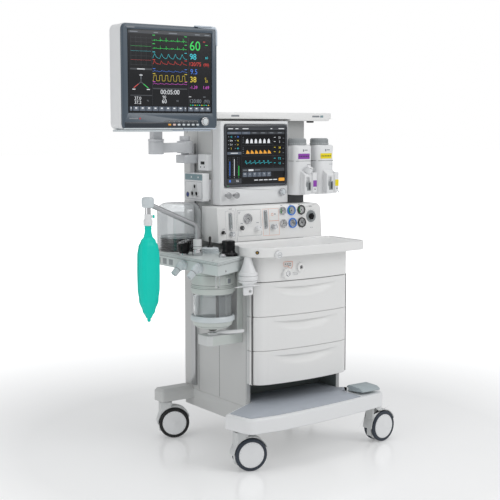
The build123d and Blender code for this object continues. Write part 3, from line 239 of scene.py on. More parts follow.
white = moulded("white_moulding", rgb(236, 237, 238))
warm_white = moulded("drawer_moulding", rgb(238, 238, 237), 0.32, 0.07, 0.975, 0.15)
pale_grey = moulded("pale_grey_moulding", rgb(214, 216, 216), 0.42)
silver_paint = moulded("silver_grey_paint", rgb(205, 206, 205), 0.40, 0.2, 0.94)
recess_grey = moulded("foot_recess_grey", rgb(118, 125, 124), 0.5, 0.1, 0.9)
block_grey = moulded("block_grey_moulding", rgb(206, 212, 211), 0.42, 0.16, 0.93)
collar_grey = moulded("collar_grey_moulding", rgb(204, 210, 206), 0.36, 0.1, 0.94, 0.1)
ring_white = moulded("ring_blue_white", rgb(214, 221, 224), 0.3, 0.06, 0.96, 0.2)
teal_strip = moulded("grey_teal_strip", rgb(133, 156, 162), 0.4)
slate = moulded("slate_bezel", rgb(74, 87, 99), 0.30, 0.05, 0.9, 0.2)
dark_slate = moulded("dark_slate_band", rgb(38, 47, 56), 0.26, 0.05, 0.9, 0.3)
dark_bezel = moulded("dark_display_bezel", rgb(66, 69, 75), 0.28, 0.05, 0.9, 0.3)
dark_grey = moulded("dark_grey_moulding", rgb(74, 76, 78), 0.42, 0.1, 0.88)
mid_grey = moulded("mid_grey_moulding", rgb(150, 155, 157), 0.42, 0.1, 0.92)
dial_grey = moulded("dial_grey_moulding", rgb(160, 164, 166), 0.42, 0.1, 0.93)
pedal_grey = moulded("pedal_grey_moulding", rgb(176, 187, 191), 0.45, 0.2, 0.92)
pad_blue = rubber("ribbed_pad_rubber", rgb(186, 192, 201), 0.52)
tyre_dark = rubber("tyre_rubber", rgb(46, 54, 66), 0.5)
black = gloss("gloss_black", rgb(6, 6, 8), 0.24, 0.25)
soft_black = moulded("soft_black_moulding", rgb(9, 9, 11), 0.46, 0.1, 0.8)
bellows_black = rubber("bellows_rubber", rgb(5, 5, 7), 0.6)
screen_black = gloss("screen_glass", rgb(14, 15, 18), 0.1)
screen_grey = gloss("screen_ground", rgb(34, 35, 38), 0.16)
chrome = metal("polished_fitting", rgb(214, 214, 216), 0.14, (1.0, 1.0, 6.0))
tube_steel = metal("brushed_tube", rgb(178, 179, 181), 0.30, (50.0, 50.0, 2.0))
rail_metal = metal("anodised_rail", rgb(206, 207, 208), 0.34, (40.0, 40.0, 1.0))
arm_metal = moulded("silver_arm_paint", rgb(206, 208, 211), 0.34, 0.1, 0.95, 0.2)
knob_silver = metal("silver_knob", rgb(205, 208, 212), 0.24, (1.0, 30.0, 1.0))
brass = metal("gold_contact", rgb(214, 170, 92), 0.24, (1.0, 8.0, 1.0))
jar_clear = clear("clear_jar", rgb(246, 249, 250))
dome_clear = clear("clear_dome", rgb(247, 249, 250), 0.03, 0.97)
tube_clear = clear("flow_tube", rgb(220, 226, 228), 0.08, 0.7)
orange_line = moulded("orange_marking", rgb(222, 128, 82), 0.5)
peach_line = moulded("peach_marking", rgb(232, 172, 146), 0.5)
grey_line = moulded("grey_marking", rgb(138, 142, 147), 0.5)
ink = moulded("dark_marking", rgb(48, 51, 57), 0.5)
blue_ring = moulded("blue_gauge_ring", rgb(24, 122, 222), 0.3, 0.05, 0.9, 0.2)
green_mark = moulded("green_sector", rgb(46, 138, 54), 0.4)
purple = moulded("purple_label", rgb(148, 66, 178), 0.4, 0.05, 0.92)
yellow = moulded("yellow_label", rgb(246, 226, 22), 0.4, 0.05, 0.94)
button_blue = moulded("deep_blue_button", rgb(44, 66, 138), 0.3, 0.05, 0.85, 0.3)


# ---- shapes -----------------------------------------------------------------

FACINGS = {
    "up": Matrix(((1, 0, 0), (0, 1, 0), (0, 0, 1))),
    "front": Matrix(((1, 0, 0), (0, 0, 1), (0, 1, 0))),
    "side": Matrix(((0, 0, 1), (1, 0, 0), (0, 1, 0))),
}


def tidy(shape):
    bmesh.ops.remove_doubles(shape, verts=shape.verts, dist=MERGE)
    bmesh.ops.dissolve_degenerate(shape, edges=shape.edges, dist=MERGE / 10)
    bmesh.ops.recalc_face_normals(shape, faces=shape.faces)
    return shape


def corner_arc(before, corner, after, radius, steps=4):
    """Points that round one corner of a line by a radius."""
    here = Vector(corner)
    back = Vector(before) - here
    ahead = Vector(after) - here
    half = back.angle(ahead) / 2
    if radius <= 0 or half > 1.5:
        return [tuple(here)]
    reach = min(radius / math.tan(half), back.length * 0.49, ahead.length * 0.49)
    start = here + back.normalized() * reach
    end = here + ahead.normalized() * reach
    centre = here + (back.normalized() + ahead.normalized()).normalized() * reach / math.cos(half)
    spread = (start - centre).angle_signed(end - centre)
    return [tuple(centre + Matrix.Rotation(-spread * s / steps, 2) @ (start - centre))
            for s in range(steps + 1)]


def rounded(points, radii, steps=5):
    """A polygon with its corners rounded, each by its own radius or all by one."""
    if not isinstance(radii, (list, tuple)):
        radii = [radii] * len(points)
    line = []
    for i, corner in enumerate(points):
        line += corner_arc(points[i - 1], corner, points[(i + 1) % len(points)], radii[i], steps)
    return line


def rectangle(x0, x1, y0, y1, radius=0.0, steps=5):
    return rounded([(x0, y0), (x1, y0), (x1, y1), (x0, y1)], radius, steps)


def circle(centre, radius, steps=32):
    turns = [2 * math.pi * i / steps for i in range(steps)]
    return [(centre[0] + radius * math.cos(t), centre[1] + radius * math.sin(t)) for t in turns]


def inset(outline, amount):
    """The outline moved inwards by an amount, point by point."""
    area = sum(a[0] * b[1] - b[0] * a[1] for a, b in zip(outline, outline[1:] + outline[:1]))
    side = 1.0 if area > 0 else -1.0
    moved = []
    for i, point in enumerate(outline):
        here = Vector(point)
        before = (here - Vector(outline[i - 1])).normalized()
        after = (Vector(outline[(i + 1) % len(outline)]) - here).normalized()
        normal = Vector((-(before.y + after.y), before.x + after.x)).normalized()
        stretch = max(normal.dot(Vector((-before.y, before.x))), 0.5)
        moved.append(tuple(here + normal * side * amount / stretch))
    return moved


def loft(rings, closed_ends=True):
    """A skin through rings of equally many points; a ring of one point is a tip."""
    shape = bmesh.new()
    made = [[shape.verts.new(point) for point in ring] for ring in rings]
    for ring, following in zip(made, made[1:]):
        count = max(len(ring), len(following))
        for i in range(count):
            j = (i + 1) % count
            if len(ring) == 1 and len(following) > 1:
                shape.faces.new((ring[0], following[j], following[i]))
            elif len(following) == 1 and len(ring) > 1:
                shape.faces.new((ring[i], ring[j], following[0]))
            elif len(ring) > 1:
                shape.faces.new((ring[i], ring[j], following[j], following[i]))
    for ring in (made[0], made[-1]):
        if closed_ends and len(ring) > 2:
            shape.faces.new(ring)
    return tidy(shape)


def prism(outline, low, high, edge=0.0, facing="up", foot=None, steps=3):
    """An outline drawn out between two levels, its rims rounded by edge and, at the low end, foot.

    facing up reads it as x, y and draws along z; front reads x, z and draws along y;
    side reads y, z and draws along x.
    """
    foot = edge if foot is None else foot
    rows = []
    for radius, level, sense in ((foot, low, 1), (edge, high, -1)):
        turns = [math.pi / 2 * s / steps for s in range(steps + 1)] if radius else [math.pi / 2]
        row = [(radius * (1 - math.sin(t)), level + sense * radius * (1 - math.cos(t))) for t in turns]
        rows += row if sense > 0 else row[::-1]
    turn = FACINGS[facing]
    return loft([[turn @ Vector((u, v, level)) for u, v in inset(outline, amount)] for amount,
                 level in rows])


def sheet(outline, level, facing="front"):
    """A flat face for a printed or glowing mark."""
    turn = FACINGS[facing]
    shape = bmesh.new()
    face = shape.faces.new([shape.verts.new(turn @ Vector((u, v, level))) for u, v in outline])
    face.normal_update()
    outward = turn @ Vector(UP) * (-1 if facing == "front" else 1)
    if face.normal.dot(outward) < 0:
        face.normal_flip()
    return shape


def outline_mark(outline, width, level, facing="front"):
    """A printed line of a given width along a closed outline."""
    turn = FACINGS[facing]
    inner = inset(outline, width)
    shape = bmesh.new()
    rings = [[shape.verts.new(turn @ Vector((u, v, level))) for u, v in line] for line in (outline, inner)]
    for i in range(len(outline)):
        j = (i + 1) % len(outline)
        shape.faces.new((rings[0][i], rings[0][j], rings[1][j], rings[1][i]))
    return shape


def band(outline, outside, inside, low, high, facing="up"):
    """A thin band round an outline's wall, from outside it to inside it."""
    turn = FACINGS[facing]
    outer, inner = inset(outline, -outside), inset(outline, inside)
    lines = ((outer, low), (outer, high), (inner, high), (inner, low), (outer, low))
    return loft([[turn @ Vector((u, v, level)) for u, v in line] for line, level in lines],
                closed_ends=False)


def box(x0, x1, y0, y1, z0, z1, edge=1.0, steps=2):
    """A block with rounded edges."""
    shape = bmesh.new()
    size = Matrix.Diagonal((x1 - x0, y1 - y0, z1 - z0, 1.0))
    place = Matrix.Translation(((x0 + x1) / 2, (y0 + y1) / 2, (z0 + z1) / 2))
    bmesh.ops.create_cube(shape, size=1.0, matrix=place @ size)
    if edge:
        bmesh.ops.bevel(shape, geom=shape.edges[:], offset=edge, segments=steps, profile=0.5,
                        affect="EDGES")
    return tidy(shape)


def facing(axis):
    """The turn that takes +Z to an axis."""
    return Vector(UP).rotation_difference(Vector(axis)).to_matrix().to_4x4()


def lathe(profile, origin, axis=UP, steps=48, edge=0.0, capped=True):
    """(radius, distance along the axis) points turned about the axis, their corners rounded by edge."""
    line = list(profile)
    if edge:
        line = [line[0]]
        for before, corner, after in zip(profile, profile[1:], profile[2:]):
            line += corner_arc(before, corner, after, edge, 3)
        line.append(profile[-1])
    place = Matrix.Translation(origin) @ facing(axis)
    turns = [2 * math.pi * i / steps for i in range(steps)]
    rings = []
    for radius, along in line:
        if radius < MERGE:
            rings.append([place @ Vector((0, 0, along))])
        else:
            rings.append([place @ Vector((radius * math.cos(t), radius * math.sin(t), along))
                          for t in turns])
    return loft(rings, capped)


def eased_route(points, bend, steps=8):
    """The route with each corner drawn into a smooth curve."""
    route = [Vector(p) for p in points]
    line = [route[0]]
    for before, here, after in zip(route, route[1:], route[2:]):
        back, ahead = before - here, after - here
        half = back.angle(ahead) / 2
        reach = min(bend / math.tan(half), back.length * 0.49, ahead.length * 0.49)
        start, end = here + back.normalized() * reach, here + ahead.normalized() * reach
        for step in range(steps + 1):
            share = step / steps
            line.append(start.lerp(here, share).lerp(here.lerp(end, share), share))
    return line + [route[-1]]


def tube(points, radius, bend=0.0, sides=20):
    """A round bar along a route; radius is a number or a function of the share of the way along."""
    route = eased_route(points, bend) if bend else [Vector(p) for p in points]
    rings = []
    side = None
    for i, here in enumerate(route):
        ahead = (route[min(i + 1, len(route) - 1)] - route[max(i - 1, 0)]).normalized()
        side = side or ahead.orthogonal().normalized()
        side = (side - ahead * side.dot(ahead)).normalized()
        other = ahead.cross(side)
        size = radius(i / (len(route) - 1)) if callable(radius) else radius
        turns = [2 * math.pi * s / sides for s in range(sides)]
        rings.append([here + (side * math.cos(t) + other * math.sin(t)) * size for t in turns])
    return loft(rings)


def moved(shape, matrix):
    bmesh.ops.transform(shape, matrix=matrix, verts=shape.verts)
    return shape


def shape_of(mesh):
    shape = bmesh.new()
    shape.from_mesh(mesh)
    return shape


def through_modifier(shape, set_up):
    """The shape after a modifier, which set_up adds to the object that carries it."""
    carrier = bpy.data.meshes.new("carrier")
    shape.to_mesh(carrier)
    shape.free()
    holder = bpy.data.objects.new("carrier", carrier)
    bpy.context.scene.collection.objects.link(holder)
    set_up(holder)
    bpy.context.view_layer.update()
    made = bpy.data.meshes.new_from_object(holder.evaluated_get(bpy.context.evaluated_depsgraph_get()))
    result = shape_of(made)
    bpy.data.objects.remove(holder)
    bpy.data.meshes.remove(carrier)
    bpy.data.meshes.remove(made)
    return result


def cad_copy(node, flat=0.6):
    """A CAD node's mesh in mm as one clean skin, its flat faces made whole."""
    shape = shape_of(frame["nodes"][node].data)
    moved(shape, Matrix.Scale(1 / MM, 4))
    bmesh.ops.remove_doubles(shape, verts=shape.verts, dist=0.02)
    if flat:
        bmesh.ops.dissolve_limit(shape, angle_limit=math.radians(flat), verts=shape.verts,
                edges=shape.edges)
    return shape


def eased(shape, width, segments=2, angle=32.0):
    """The same shape with its sharp edges rounded over."""
    def bevel(holder):
        edges = holder.modifiers.new("edges", "BEVEL")
        edges.limit_method = "ANGLE"
        edges.angle_limit = math.radians(angle)
        edges.width = width
        edges.segments = segments
        edges.use_clamp_overlap = False
        edges.miter_outer = "MITER_ARC"
    return through_modifier(shape, bevel)


# ---- repeats, by Geometry Nodes ---------------------------------------------

def repeat_tree():
    """Copies of a shape in a row or a ring: each is moved by a step and turned about Z from the last."""
    tree = bpy.data.node_groups.new("repeats", "GeometryNodeTree")
    face = tree.interface
    face.new_socket("Geometry", in_out="INPUT", socket_type="NodeSocketGeometry")
    face.new_socket("Count", in_out="INPUT", socket_type="NodeSocketInt")
    face.new_socket("Start", in_out="INPUT", socket_type="NodeSocketVector")
    face.new_socket("Step", in_out="INPUT", socket_type="NodeSocketVector")
    face.new_socket("Turn", in_out="INPUT", socket_type="NodeSocketFloat")
    face.new_socket("Unevenness", in_out="INPUT", socket_type="NodeSocketFloat")
    face.new_socket("Finish", in_out="INPUT", socket_type="NodeSocketMaterial")
    face.new_socket("Geometry", in_out="OUTPUT", socket_type="NodeSocketGeometry")

    def node(kind, **settings):
        made = tree.nodes.new(kind)
        for name, value in settings.items():
            setattr(made, name, value)
        return made

    def link(source, target):
        tree.links.new(source, target)

    given = node("NodeGroupInput")
    points = node("GeometryNodePoints")
    index = node("GeometryNodeInputIndex")
    angle = node("ShaderNodeMath", operation="MULTIPLY")
    walk = node("ShaderNodeVectorMath", operation="SCALE")
    spin = node("ShaderNodeVectorRotate", rotation_type="Z_AXIS")
    add = node("ShaderNodeVectorMath", operation="ADD")
    chance = node("FunctionNodeRandomValue", data_type="FLOAT")
    wobble = node("ShaderNodeMath", operation="MULTIPLY_ADD")
    heading = node("ShaderNodeCombineXYZ")
    copies = node("GeometryNodeInstanceOnPoints")
    real = node("GeometryNodeRealizeInstances")
    finish = node("GeometryNodeSetMaterial")
    out = node("NodeGroupOutput")
    chance.inputs["Min"].default_value = -1.0
    chance.inputs["Seed"].default_value = 7
    link(given.outputs["Count"], points.inputs["Count"])
    link(index.outputs[0], angle.inputs[0])
    link(given.outputs["Turn"], angle.inputs[1])
    link(given.outputs["Step"], walk.inputs[0])
    link(index.outputs[0], walk.inputs["Scale"])
    link(given.outputs["Start"], spin.inputs["Vector"])
    link(angle.outputs[0], spin.inputs["Angle"])
    link(spin.outputs[0], add.inputs[0])
    link(walk.outputs[0], add.inputs[1])
    link(add.outputs[0], points.inputs["Position"])
    link(chance.outputs[1], wobble.inputs[0])
    link(given.outputs["Unevenness"], wobble.inputs[1])
    link(angle.outputs[0], wobble.inputs[2])
    link(wobble.outputs[0], heading.inputs[2])
    link(points.outputs[0], copies.inputs["Points"])
    link(given.outputs["Geometry"], copies.inputs["Instance"])
    link(heading.outputs[0], copies.inputs["Rotation"])
    link(copies.outputs[0], real.inputs[0])
    link(real.outputs[0], finish.inputs[0])
    link(given.outputs["Finish"], finish.inputs["Material"])
    link(finish.outputs[0], out.inputs[0])
    return tree


REPEATS = repeat_tree()
SOCKETS = {item.name: item.identifier for item in REPEATS.interface.items_tree if item.in_out == "INPUT"}


def repeated(shape, count, finish, start=(0, 0, 0), step=(0, 0, 0), turn=0.0, uneven=0.0):
    """Copies of a shape: rows by a step, rings by a turn in degrees about the origin's Z axis."""
    def nodes(holder):
        rows = holder.modifiers.new("repeats", "NODES")
        rows.node_group = REPEATS
        values = {"Count": count, "Start": start, "Step": step, "Turn": math.radians(turn),
                  "Unevenness": math.radians(uneven), "Finish": finish}
        for name, value in values.items():
            rows[SOCKETS[name]] = value
    return through_modifier(shape, nodes)


class Build:
    """A piece put together from shapes, each with its own finish."""

    def __init__(self):
        self.mesh = bmesh.new()
        self.finishes = []

    def index(self, finish):
        if finish not in self.finishes:
            self.finishes.append(finish)
        return self.finishes.index(finish)

    def add(self, shape, finish, where=()):
        """Adds a shape in one finish; where gives (finish, test) pairs for the faces that differ."""
        plain = self.index(finish)
        for face in shape.faces:
            face.material_index = plain
        for other, test in where:
            mark = self.index(other)
            for face in shape.faces:
                if test(face.calc_center_median(), face.normal):
                    face.material_index = mark
        carrier = bpy.data.meshes.new("part")
        shape.to_mesh(carrier)
        shape.free()
        self.mesh.from_mesh(carrier)
        bpy.data.meshes.remove(carrier)
        return self

    def ring(self, shape, count, finish, origin, axis, start=(0, 0, 0), turn=None, step=(0, 0, 0),
             first=0.0, uneven=0.0):
        """Copies of a shape about an axis, which is the shape's own Z."""
        whole = repeated(shape, count, finish, start, step, 360.0 / count if turn is None else turn, uneven)
        place = Matrix.Translation(origin) @ facing(axis) @ Matrix.Rotation(math.radians(first), 4, "Z")
        return self.add(moved(whole, place), finish)

    def row(self, shape, count, finish, step):
        return self.add(repeated(shape, count, finish, step=step), finish)

    def object(self, name, sharp=38.0):
        limit = math.radians(sharp)
        moved(self.mesh, Matrix.Scale(MM, 4))
        for face in self.mesh.faces:
            face.smooth = True
        for line in self.mesh.edges:
            line.smooth = len(line.link_faces) == 2 and line.calc_face_angle(0.0) < limit
        mesh = bpy.data.meshes.new(name)
        self.mesh.to_mesh(mesh)
        self.mesh.free()
        for finish in self.finishes:
            mesh.materials.append(finish)
        made = bpy.data.objects.new(name, mesh)
        bpy.context.scene.collection.objects.link(made)
        return made

    def piece(self, name, body, slot, replaces=(), sharp=38.0):
        """Makes the object, rides it on its body and hides the CAD nodes it stands for."""
        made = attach(self.object(name, sharp), body)
        if replaces:
            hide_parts(*replaces)
        return made


def fine(node, finish, width=1.0, segments=2, where=(), flat=0.6):
    """A Build that starts with a CAD node's shape, its edges eased."""
    return Build().add(eased(cad_copy(node, flat), width, segments), finish, where)


def done(build, node, also=()):
    """The build as the piece that stands for a CAD node, and for others of its body."""
    return build.piece(f"{node}_detailed", body_of[node], slot_of[node], (node, *also))


# ---- camera, floor and light ------------------------------------------------

LENS = 78.3                   # mm, on a sensor 36 mm wide
EYE = (-2.5934, -3.5055, 1.2746)
LOOK_DOWN, LOOK_RIGHT = 6.492, 35.267  # degrees from level and from +Y
FLOOR_HALF = 40.0             # m
SURROUND_GLOW = 0.44          # strength of the surround as a light
FLOOR_SHADE, FLOOR_WHITE = (0.17, 0.17, 0.17, 1), (1, 1, 1, 1)


def camera():
    data = bpy.data.cameras.new("camera")
    data.sensor_width = 36.0
    data.lens = LENS
    data.clip_end = 100.0
    made = bpy.data.objects.new("camera", data)
    bpy.context.scene.collection.objects.link(made)
    made.location = EYE
    made.rotation_euler = (math.radians(90 - LOOK_DOWN), 0.0, math.radians(-LOOK_RIGHT))
    bpy.context.scene.camera = made


def lamp(name, place, target, size, power):
    data = bpy.data.lights.new(name, "AREA")
    data.shape = "RECTANGLE"
    data.size, data.size_y = size
    data.energy = power
    made = bpy.data.objects.new(name, data)
    bpy.context.scene.collection.objects.link(made)
    made.location = place
    made.rotation_euler = (Vector(target) - Vector(place)).to_track_quat("-Z", "Y").to_euler()


def studio():
    """White surround, pale floor and large soft lamps."""
    paint = Paint("floor_paint")
    smear = paint.noise(1.4, 4.0)
    distance = paint.node("ShaderNodeVectorMath", {"operation": "LENGTH"}, {0: paint.place()}, output=1)
    by_camera = paint.node("ShaderNodeLightPath", output=0)
    away = paint.node("ShaderNodeClamp", {}, {0: distance * 0.42 - 0.42}) * by_camera
    paint.set("Base Color", paint.blend(smear, rgb(243, 243, 243), rgb(247, 247, 247)))
    paint.set("Roughness", smear * 0.06 + 0.16)
    paint.set("Emission Color", paint.blend(away, FLOOR_SHADE, FLOOR_WHITE))
    paint.set("Emission Strength", 1.0)
    shape = bmesh.new()
    bmesh.ops.create_grid(shape, x_segments=8, y_segments=8, size=FLOOR_HALF)
    mesh = bpy.data.meshes.new("floor")
    shape.to_mesh(mesh)
    shape.free()
    mesh.materials.append(paint.material)
    floor = bpy.data.objects.new("floor", mesh)
    bpy.context.scene.collection.objects.link(floor)

    world = bpy.data.worlds.new("surround")
    bpy.context.scene.world = world
    world.use_nodes = True
    tree = world.node_tree
    tree.nodes.clear()
    out = tree.nodes.new("ShaderNodeOutputWorld")
    seen = tree.nodes.new("ShaderNodeBackground")
    seen.inputs[0].default_value = (1, 1, 1, 1)
    glow = tree.nodes.new("ShaderNodeBackground")
    glow.inputs[0].default_value = (0.97, 0.985, 1.0, 1)
    glow.inputs[1].default_value = SURROUND_GLOW
    path = tree.nodes.new("ShaderNodeLightPath")
    plain = tree.nodes.new("ShaderNodeMath")
    plain.operation = "MAXIMUM"
    mix = tree.nodes.new("ShaderNodeMixShader")
    tree.links.new(path.outputs["Is Camera Ray"], plain.inputs[0])
    tree.links.new(path.outputs["Is Transmission Ray"], plain.inputs[1])
    tree.links.new(plain.outputs[0], mix.inputs[0])
    tree.links.new(glow.outputs[0], mix.inputs[1])
    tree.links.new(seen.outputs[0], mix.inputs[2])
    tree.links.new(mix.outputs[0], out.inputs[0])

    lamp("key", (1.6, -3.4, 3.0), (0, 0, 0.7), (2.2, 2.2), 50)
    lamp("top", (-0.2, -0.2, 4.2), (0, 0, 0), (3.4, 3.4), 40)
    lamp("fill", (-4.2, -0.6, 1.7), (0, 0, 0.8), (2.2, 2.6), 24)
    bpy.context.scene.view_settings.view_transform = "Standard"


camera()
studio()


# ---- pieces that keep their CAD shape with eased edges ----------------------

def plain_pieces():
    """Nodes whose CAD shape is whole; their edges are eased and their finishes varied."""
    table = (
        ("rear_cover", pale_grey, 0.8),
        ("side_rail", rail_metal, 0.6),
        ("monitor_mount", arm_metal, 1.5),
        ("monitor_arm", arm_metal, 1.2),
        ("monitor_yoke", arm_metal, 1.2),
        ("internal_modules", mid_grey, 0.8),
    )
    for node, finish, width in table:
        done(fine(node, finish, width), node)


def analyser():
    """The gas analyser on the rail: coloured strip, round button, connector and the small box above."""
    x0, x1, y0, y1, z0, z1 = span("gas_module")
    build = fine("gas_module", white, 1.8, 3)
    build.add(prism(rectangle(y0 + 5, y1 - 5, z1 - 28, z1 - 4, 3), x0 - 0.6, x0 + 1, 0.2, "side"),
              teal_strip)
    for y in (y0 + 34, y0 + 84):
        build.add(lathe([(0, 1.0), (3.4, 1.0), (4, 0.2)], (x0, y, z1 - 16), LEFT, 20), white)
    build.add(band(rectangle(y0 + 8, y1 - 8, z0 + 8, z1 - 34, 5), 0.0, 1.0, x0 - 0.4, x0 + 0.4, "side"),
              grey_line)
    build.add(lathe([(0, 3.0), (6, 3.0), (8.4, 2.0), (9, 0.4), (9, -1)], (x0, y1 - 24, z0 + 24), LEFT, 32),
              button_blue)
    build.add(lathe([(9, 0.9), (11, 0.9), (11.6, 0)], (x0, y1 - 24, z0 + 24), LEFT, 32, capped=False),
              mid_grey)
    for y, z, radius in ((y0 + 56, z0 + 58, 12), (y0 + 44, z0 + 30, 13), (y0 + 74, z0 + 30, 13)):
        build.add(lathe([(0, 2.0), (radius - 5, 2.0), (radius - 4, 4.5), (radius - 1, 4.5), (radius, 3),
                (radius, -1)], (x0, y, z), LEFT, 36), pale_grey)
        build.add(lathe([(radius - 4.2, 2.2), (0, 2.2)], (x0, y, z), LEFT, 24), dark_grey)
    build.add(prism(rectangle(y0 + 40, y0 + 78, z0 + 24, z0 + 62, 14), x0 - 1.6, x0 + 1, 0.6, "side"),
              pale_grey)
    build.add(box(x1 - 22, x1 + 12, y0 + 4, y0 + 70, z1 + 10, z1 + 74, 2.5, 3), white)
    face = x1 - 22  # the small box's left side
    build.add(box(face - 0.4, face + 2, y0 + 22, y0 + 50, z1 + 34, z1 + 46, 0.6), soft_black)
    for y in (y0 + 24, y0 + 50):
        build.add(lathe([(0, 0.8), (2.2, 0.8), (2.8, 0)], (face, y, z1 + 24), LEFT, 16), ink)
    for y in (y0 + 16, y1 - 16):
        build.add(lathe([(0, 0.8), (3.0, 0.8), (3.6, 0.2)], (x0 + 15, y, z1), UP, 20), chrome)
    done(build, "gas_module")


plain_pieces()
analyser()


# ---- screens ----------------------------------------------------------------

GREEN, CYAN, RED = rgb(40, 224, 92), rgb(56, 212, 226), rgb(226, 60, 52)
BLUE, YELLOW, MAGENTA = rgb(64, 122, 226), rgb(240, 214, 66), rgb(214, 84, 206)
WHITE, GREY, ORANGE = rgb(235, 238, 242), rgb(128, 134, 142), rgb(244, 170, 48)

glow_green, glow_cyan, glow_red = lit("glow_green", GREEN), lit("glow_cyan", CYAN), lit("glow_red", RED)
glow_blue, glow_yellow, glow_magenta = lit("glow_blue", BLUE), lit("glow_yellow",
        YELLOW), lit("glow_magenta", MAGENTA)
glow_white, glow_grey, glow_orange = lit("glow_white", WHITE), lit("glow_grey",
        GREY), lit("glow_orange", ORANGE)
glow_faint = lit("glow_faint", rgb(70, 74, 80))
glow_key = lit("glow_key", rgb(84, 94, 108))
glow_band = lit("glow_band", rgb(52, 56, 62))
key_amber = moulded("amber_key", rgb(240, 170, 60), 0.3)
key_pink = moulded("pink_key", rgb(236, 206, 196), 0.3)
key_red = moulded("red_mark", rgb(208, 44, 60), 0.35)
trim_silver = moulded("trim_strip", rgb(196, 206, 217), 0.3, 0.05, 0.95, 0.3)


class Screen:
    """Lays marks out on a flat display; u runs from its left and v from its top, 0 to 1."""

    def __init__(self, build, x0, x1, z0, z1, y):
        self.build = build
        self.x0, self.x1, self.z0, self.z1, self.y = x0, x1, z0, z1, y

    def at(self, u, v):
        return self.x0 + (self.x1 - self.x0) * u, self.z1 - (self.z1 - self.z0) * v

    def block(self, u0, u1, v0, v1, finish, radius=0.0, lift=1):
        (x0, z1), (x1, z0) = self.at(u0, v0), self.at(u1, v1)
        self.build.add(sheet(rectangle(x0, x1, z0, z1, radius, 3), self.y - lift * HAIR), finish)

    def frame(self, u0, u1, v0, v1, width, finish, lift=1):
        (x0, z1), (x1, z0) = self.at(u0, v0), self.at(u1, v1)
        self.build.add(outline_mark(rectangle(x0, x1, z0, z1), width, self.y - lift * HAIR), finish)

    def trace(self, points, width, finish, lift=2):
        """A ribbon of even width along a line of (u, v) points."""
        line = [Vector(self.at(u, v)) for u, v in points]
        shape = bmesh.new()
        pairs = []
        for i, here in enumerate(line):
            ahead = (line[min(i + 1, len(line) - 1)] - line[max(i - 1, 0)]).normalized()
            side = Vector((-ahead.y, ahead.x)) * width / 2
            pairs.append([shape.verts.new((p.x, self.y - lift * HAIR, p.y))
                          for p in (here - side, here + side)])
        for near, far in zip(pairs, pairs[1:]):
            shape.faces.new((near[0], far[0], far[1], near[1]))
        self.build.add(shape, finish)

    def wave(self, u0, u1, v, height, beats, form, width, finish, samples=220):
        """A repeating waveform; form gives its height for a share of a beat, v is its base line."""
        points = []
        for i in range(samples + 1):
            share = i / samples
            points.append((u0 + (u1 - u0) * share, v - height * form(share * beats % 1.0)))
        self.trace(points, width, finish)

    def figures(self, text, u, v, height, finish, align="CENTER", lift=2):
        """Numbers of a given height in mm, their middle at v."""
        curve = bpy.data.curves.new("figures", "FONT")
        curve.body = text
        curve.align_x = align
        curve.align_y = "CENTER"
        curve.size = height * 1.38
        curve.resolution_u = 3
        holder = bpy.data.objects.new("figures", curve)
        bpy.context.scene.collection.objects.link(holder)
        bpy.context.view_layer.update()
        flat = bpy.data.meshes.new_from_object(holder.evaluated_get(bpy.context.evaluated_depsgraph_get()))
        shape = shape_of(flat)
        bpy.data.objects.remove(holder)
        bpy.data.curves.remove(curve)
        bpy.data.meshes.remove(flat)
        x, z = self.at(u, v)
        stand = Matrix.Translation((x, self.y - lift * HAIR, z)) @ Matrix.Rotation(math.pi / 2, 4, "X")
        self.build.add(moved(shape, stand), finish)


def bumps(*hills):
    """A waveform of soft hills, each (place, width, height)."""
    return lambda p: sum(height * math.exp(-((p - place) / width) ** 2) for place, width, height in hills)


HEARTBEAT = bumps((0.18, 0.035, 0.14), (0.31, 0.010, -0.14), (0.34, 0.012, 1.0), (0.37, 0.012, -0.25),
        (0.60, 0.055, 0.25))
PULSE = bumps((0.22, 0.08, 1.0), (0.36, 0.12, 0.55), (0.62, 0.14, 0.22))
LOW_PULSE = bumps((0.3, 0.12, 0.8), (0.6, 0.15, 0.4))


def breath(p):
    """Exhaled gas: a steep rise, a plateau and a steep fall."""
    return max(0.0, min(1.0, (p - 0.12) / 0.05, (0.62 - p) / 0.04)) * (0.9 + 0.16 * p)


def saw(p):
    """A volume trace: quick rise, long decay."""
    return p / 0.3 if p < 0.3 else math.exp(-(p - 0.3) * 5.5)


# ---- patient monitor --------------------------------------------------------

